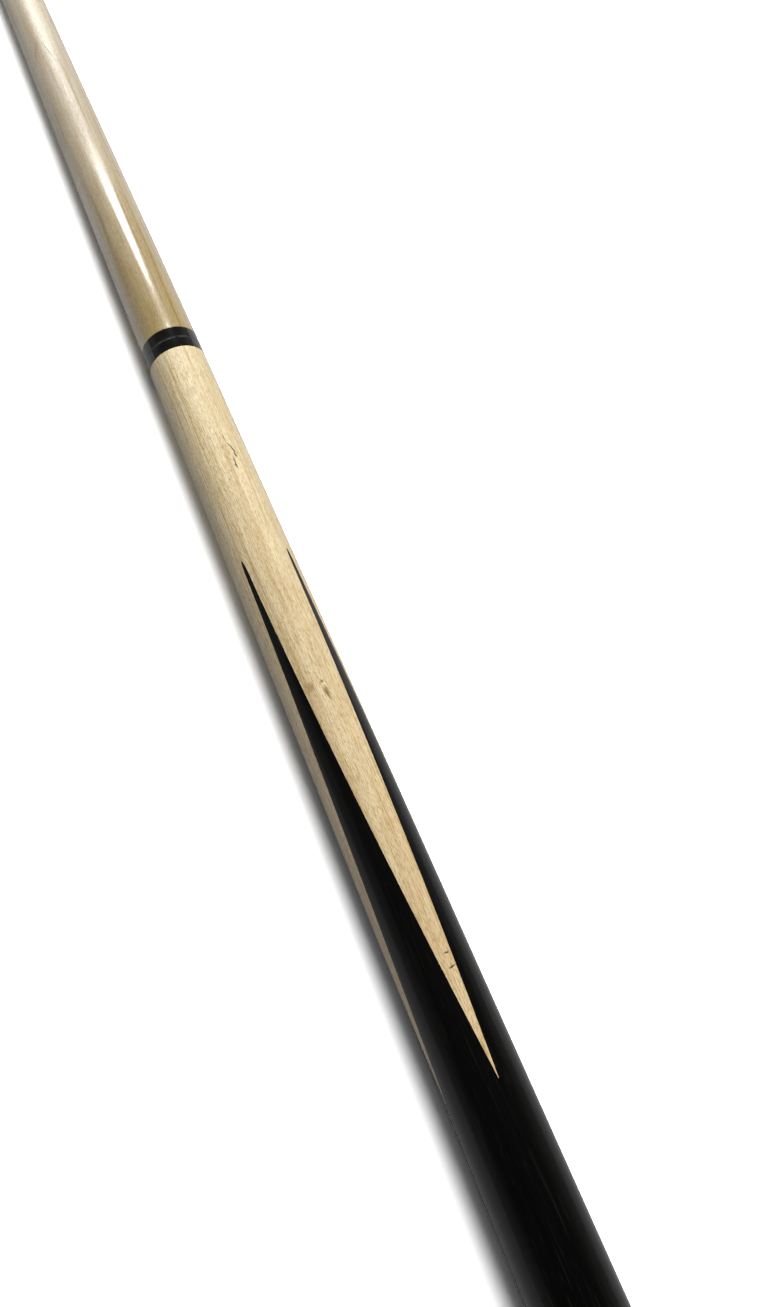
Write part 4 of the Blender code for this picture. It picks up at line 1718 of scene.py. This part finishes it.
def forearm_maple(joint: float) -> LacqueredMaple:
    """Choose the forearm's wood: creamy, with a mineral streak, a small knot and two nicks.

    Args:
        joint: Place of the joint along the cue.

    Returns:
        The finish.
    """
    # Each mark: joint, station, azimuth, length, width, lean, strength and tone.
    mineral = (
        Mark(joint, -48.4, 13.3, 5.0, 0.50, 5.0, 0.75, "6b5436"),
        Mark(joint, -51.7, 18.1, 3.6, 0.65, 29.0, 0.90, "4a3824"),
        Mark(joint, -53.4, 21.4, 4.0, 0.80, 13.0, 1.0, "1c130b"),
        Mark(joint, -55.7, 21.9, 3.2, 0.75, 7.0, 1.0, "1c130b"),
        Mark(joint, -58.7, 15.2, 6.4, 0.60, 0.0, 0.90, "3f2e1c"),
        Mark(joint, -60.4, 14.8, 2.4, 0.95, 5.0, 1.0, "24190e"),
    )
    knot = (
        Mark(joint, -140.6, 1.3, 9.0, 1.00, 12.0, 0.45, "b9975f"),
        Mark(joint, -148.7, -19.3, 5.0, 3.20, 6.0, 0.70, "ac8559"),
        Mark(joint, -148.2, 1.8, 1.6, 1.20, 0.0, 0.9, "6b5730"),
        Mark(joint, -151.8, 2.5, 5.0, 2.00, 4.0, 0.90, "836c38"),
        Mark(joint, -154.3, 4.0, 3.6, 1.00, 13.0, 0.70, "836c38"),
    )
    nicks = (
        Mark(joint, -241.7, 11.9, 2.4, 0.70, 91.0, 0.95, "3d2b18"),
        Mark(joint, -246.0, 11.8, 3.2, 0.80, 105.0, 1.0, "241809"),
    )
    # Hard maple under satin lacquer: warm cream that darkens a little towards the handle.
    return LacqueredMaple(
        "lacquered_hard_maple_forearm", "f5e4ba", far="e4cba0", drift=Stretch(joint, joint - 300.0 * MM),
        rings=GrowthRings(spacing=1.3, azimuth=-8.0, runout=0.010, wander=1.4, strength=0.65, shift=4.0),
        marks=mineral + knot + nicks, figure=1.2, shift=11.0, coat=0.34,
    )


def shaft_maple(joint: float) -> LacqueredMaple:
    """Choose the shaft's wood: darker and straighter, with arched grain and painted sheen on top further up.

    Args:
        joint: Place of the joint along the cue.

    Returns:
        The finish.
    """
    # Each mark: joint, station, azimuth, length, width, lean, strength and tone.
    arched_grain_and_sheen = (
        # Painted sheen: a pale band over the shaft's top, where the lamps' broad reflection falls.
        Mark(joint, 190.0, 10.0, 90.0, 15.0, 0.0, 0.75, "ebe0c8"),
        # Dark lines of arched grain.
        Mark(joint, 164.0, -36.0, 18.0, 0.80, -19.8, 0.95, "806a46"),
        Mark(joint, 161.5, -2.8, 22.0, 0.80, 10.8, 0.95, "806a46"),
    )
    # Hard maple under lacquer worn by use: brown near the joint and paler ahead, with a clear streak of
    # light.
    return LacqueredMaple(
        "lacquered_hard_maple_shaft", "b19b66", far="cabfab", drift=Stretch(joint, joint + 140.0 * MM),
        rings=GrowthRings(spacing=2.2, azimuth=-30.0, runout=0.006, wander=1.0, strength=0.80, shift=9.0),
        marks=arched_grain_and_sheen, figure=0.8, shift=23.0, coat=0.36, polished=(joint + 68.0 * MM, joint + 112.0 * MM),
    )


def main() -> None:
    """Build the cue, the stage and the camera."""
    logging.basicConfig(level=logging.INFO, format="%(name)s: %(message)s")
    room = {node: Span.of(node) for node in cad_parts}
    joint = (room["butt_collar"].front + room["shaft_collar"].rear) / 2
    taper = ButtTaper(room["butt_cap"], room["butt_collar"])
    shaft_taper = ShaftTaper(joint, taper.radius(joint), room["ferrule"].radius, room["ferrule"].rear)
    # Black hardwood under gloss lacquer: a deep black that mirrors the floor along its flanks.
    blackwood = LacqueredBlackwood("lacquered_black_hardwood", "040404")
    # Polished black resin: a dark mirror, with a painted highlight as a thin pale line where the joint
    # parts.
    collar_resin = TurnedResin(
        "turned_black_resin", "141514", cloud="201f1d", line="282624", roughness=0.08, parting=joint
    )
    # Polished black resin of the cap: blacker and a little softer in its gloss than the collars.
    cap_resin = TurnedResin(
        "turned_black_cap_resin", "0d0d0d", cloud="171615", line="1d1c1b", roughness=0.14
    )
    # Ivory-white resin: warm and even, with a soft sheen.
    ferrule_resin = TurnedResin(
        "turned_ivory_resin", "e4dbc7", cloud="d9cfb8", line="cec3a9", roughness=0.25
    )
    # Turned stainless steel: bright neutral flanks that pick the thread out.
    stainless = TurnedMetal("turned_stainless_steel", "d2d0cb", stain="a8a59e", roughness=0.24)
    # Turned brass: warm yellow, a little tarnished.
    brass = TurnedMetal("turned_brass", "d6b264", stain="a8823c", roughness=0.28)
    # Zinc-plated steel: pale bluish grey and slightly dull.
    zinc = TurnedMetal("turned_zinc_plated_steel", "bfc0c2", stain="96989c", roughness=0.34)
    # Black-oxide steel: dark grey with a low sheen.
    oxide = TurnedMetal("turned_black_oxide_steel", "5c5d60", stain="3d3e40", roughness=0.42)
    # Vulcanised fibre: a thin matt black line under the tip.
    fibre = PressedFibre("pressed_vulcanised_fibre", "17171a")
    # Pressed leather: brown layers at the side and dusty blue on the crown.
    leather = ChalkedLeather("pressed_chalked_leather", "5a3d2a", crown=room["tip"].front)
    # Moulded rubber: dull dark grey, with patches of dust.
    rubber = MouldedRubber("moulded_black_rubber", "151515")
    assemblies = [
        SplicedButt(
            Splice(taper, joint), room["butt_cap"], room["weight_bolt"], room["butt_collar"],
            room["joint_pin"], blackwood, forearm_maple(joint),
        ),
        ScrewJoint(
            taper, shaft_taper, room["butt_collar"], room["shaft_collar"], room["joint_pin"],
            room["shaft_insert"], collar_resin, stainless, brass,
        ),
        Shaft(
            shaft_taper, room["shaft"], room["shaft_collar"], room["shaft_insert"], room["ferrule"],
            room["tip_pad"], room["tip"], shaft_maple(joint), ferrule_resin, fibre, leather,
        ),
        ButtEnd(
            taper, room["bumper"], room["bumper_stud"], room["butt_cap"], room["weight_bolt"],
            rubber, zinc, cap_resin, oxide,
        ),
    ]
    for assembly in assemblies:
        for piece in assembly.build():
            piece.seat()
            LOG.info("%s: %d faces", piece.shape.name, len(piece.shape.data.polygons))
    Studio(room["butt_cap"], room["tip"], joint).build()
    PhotoCamera().build()
    bpy.context.scene.view_settings.view_transform = "Standard"


if __name__ == "__main__":
    main()
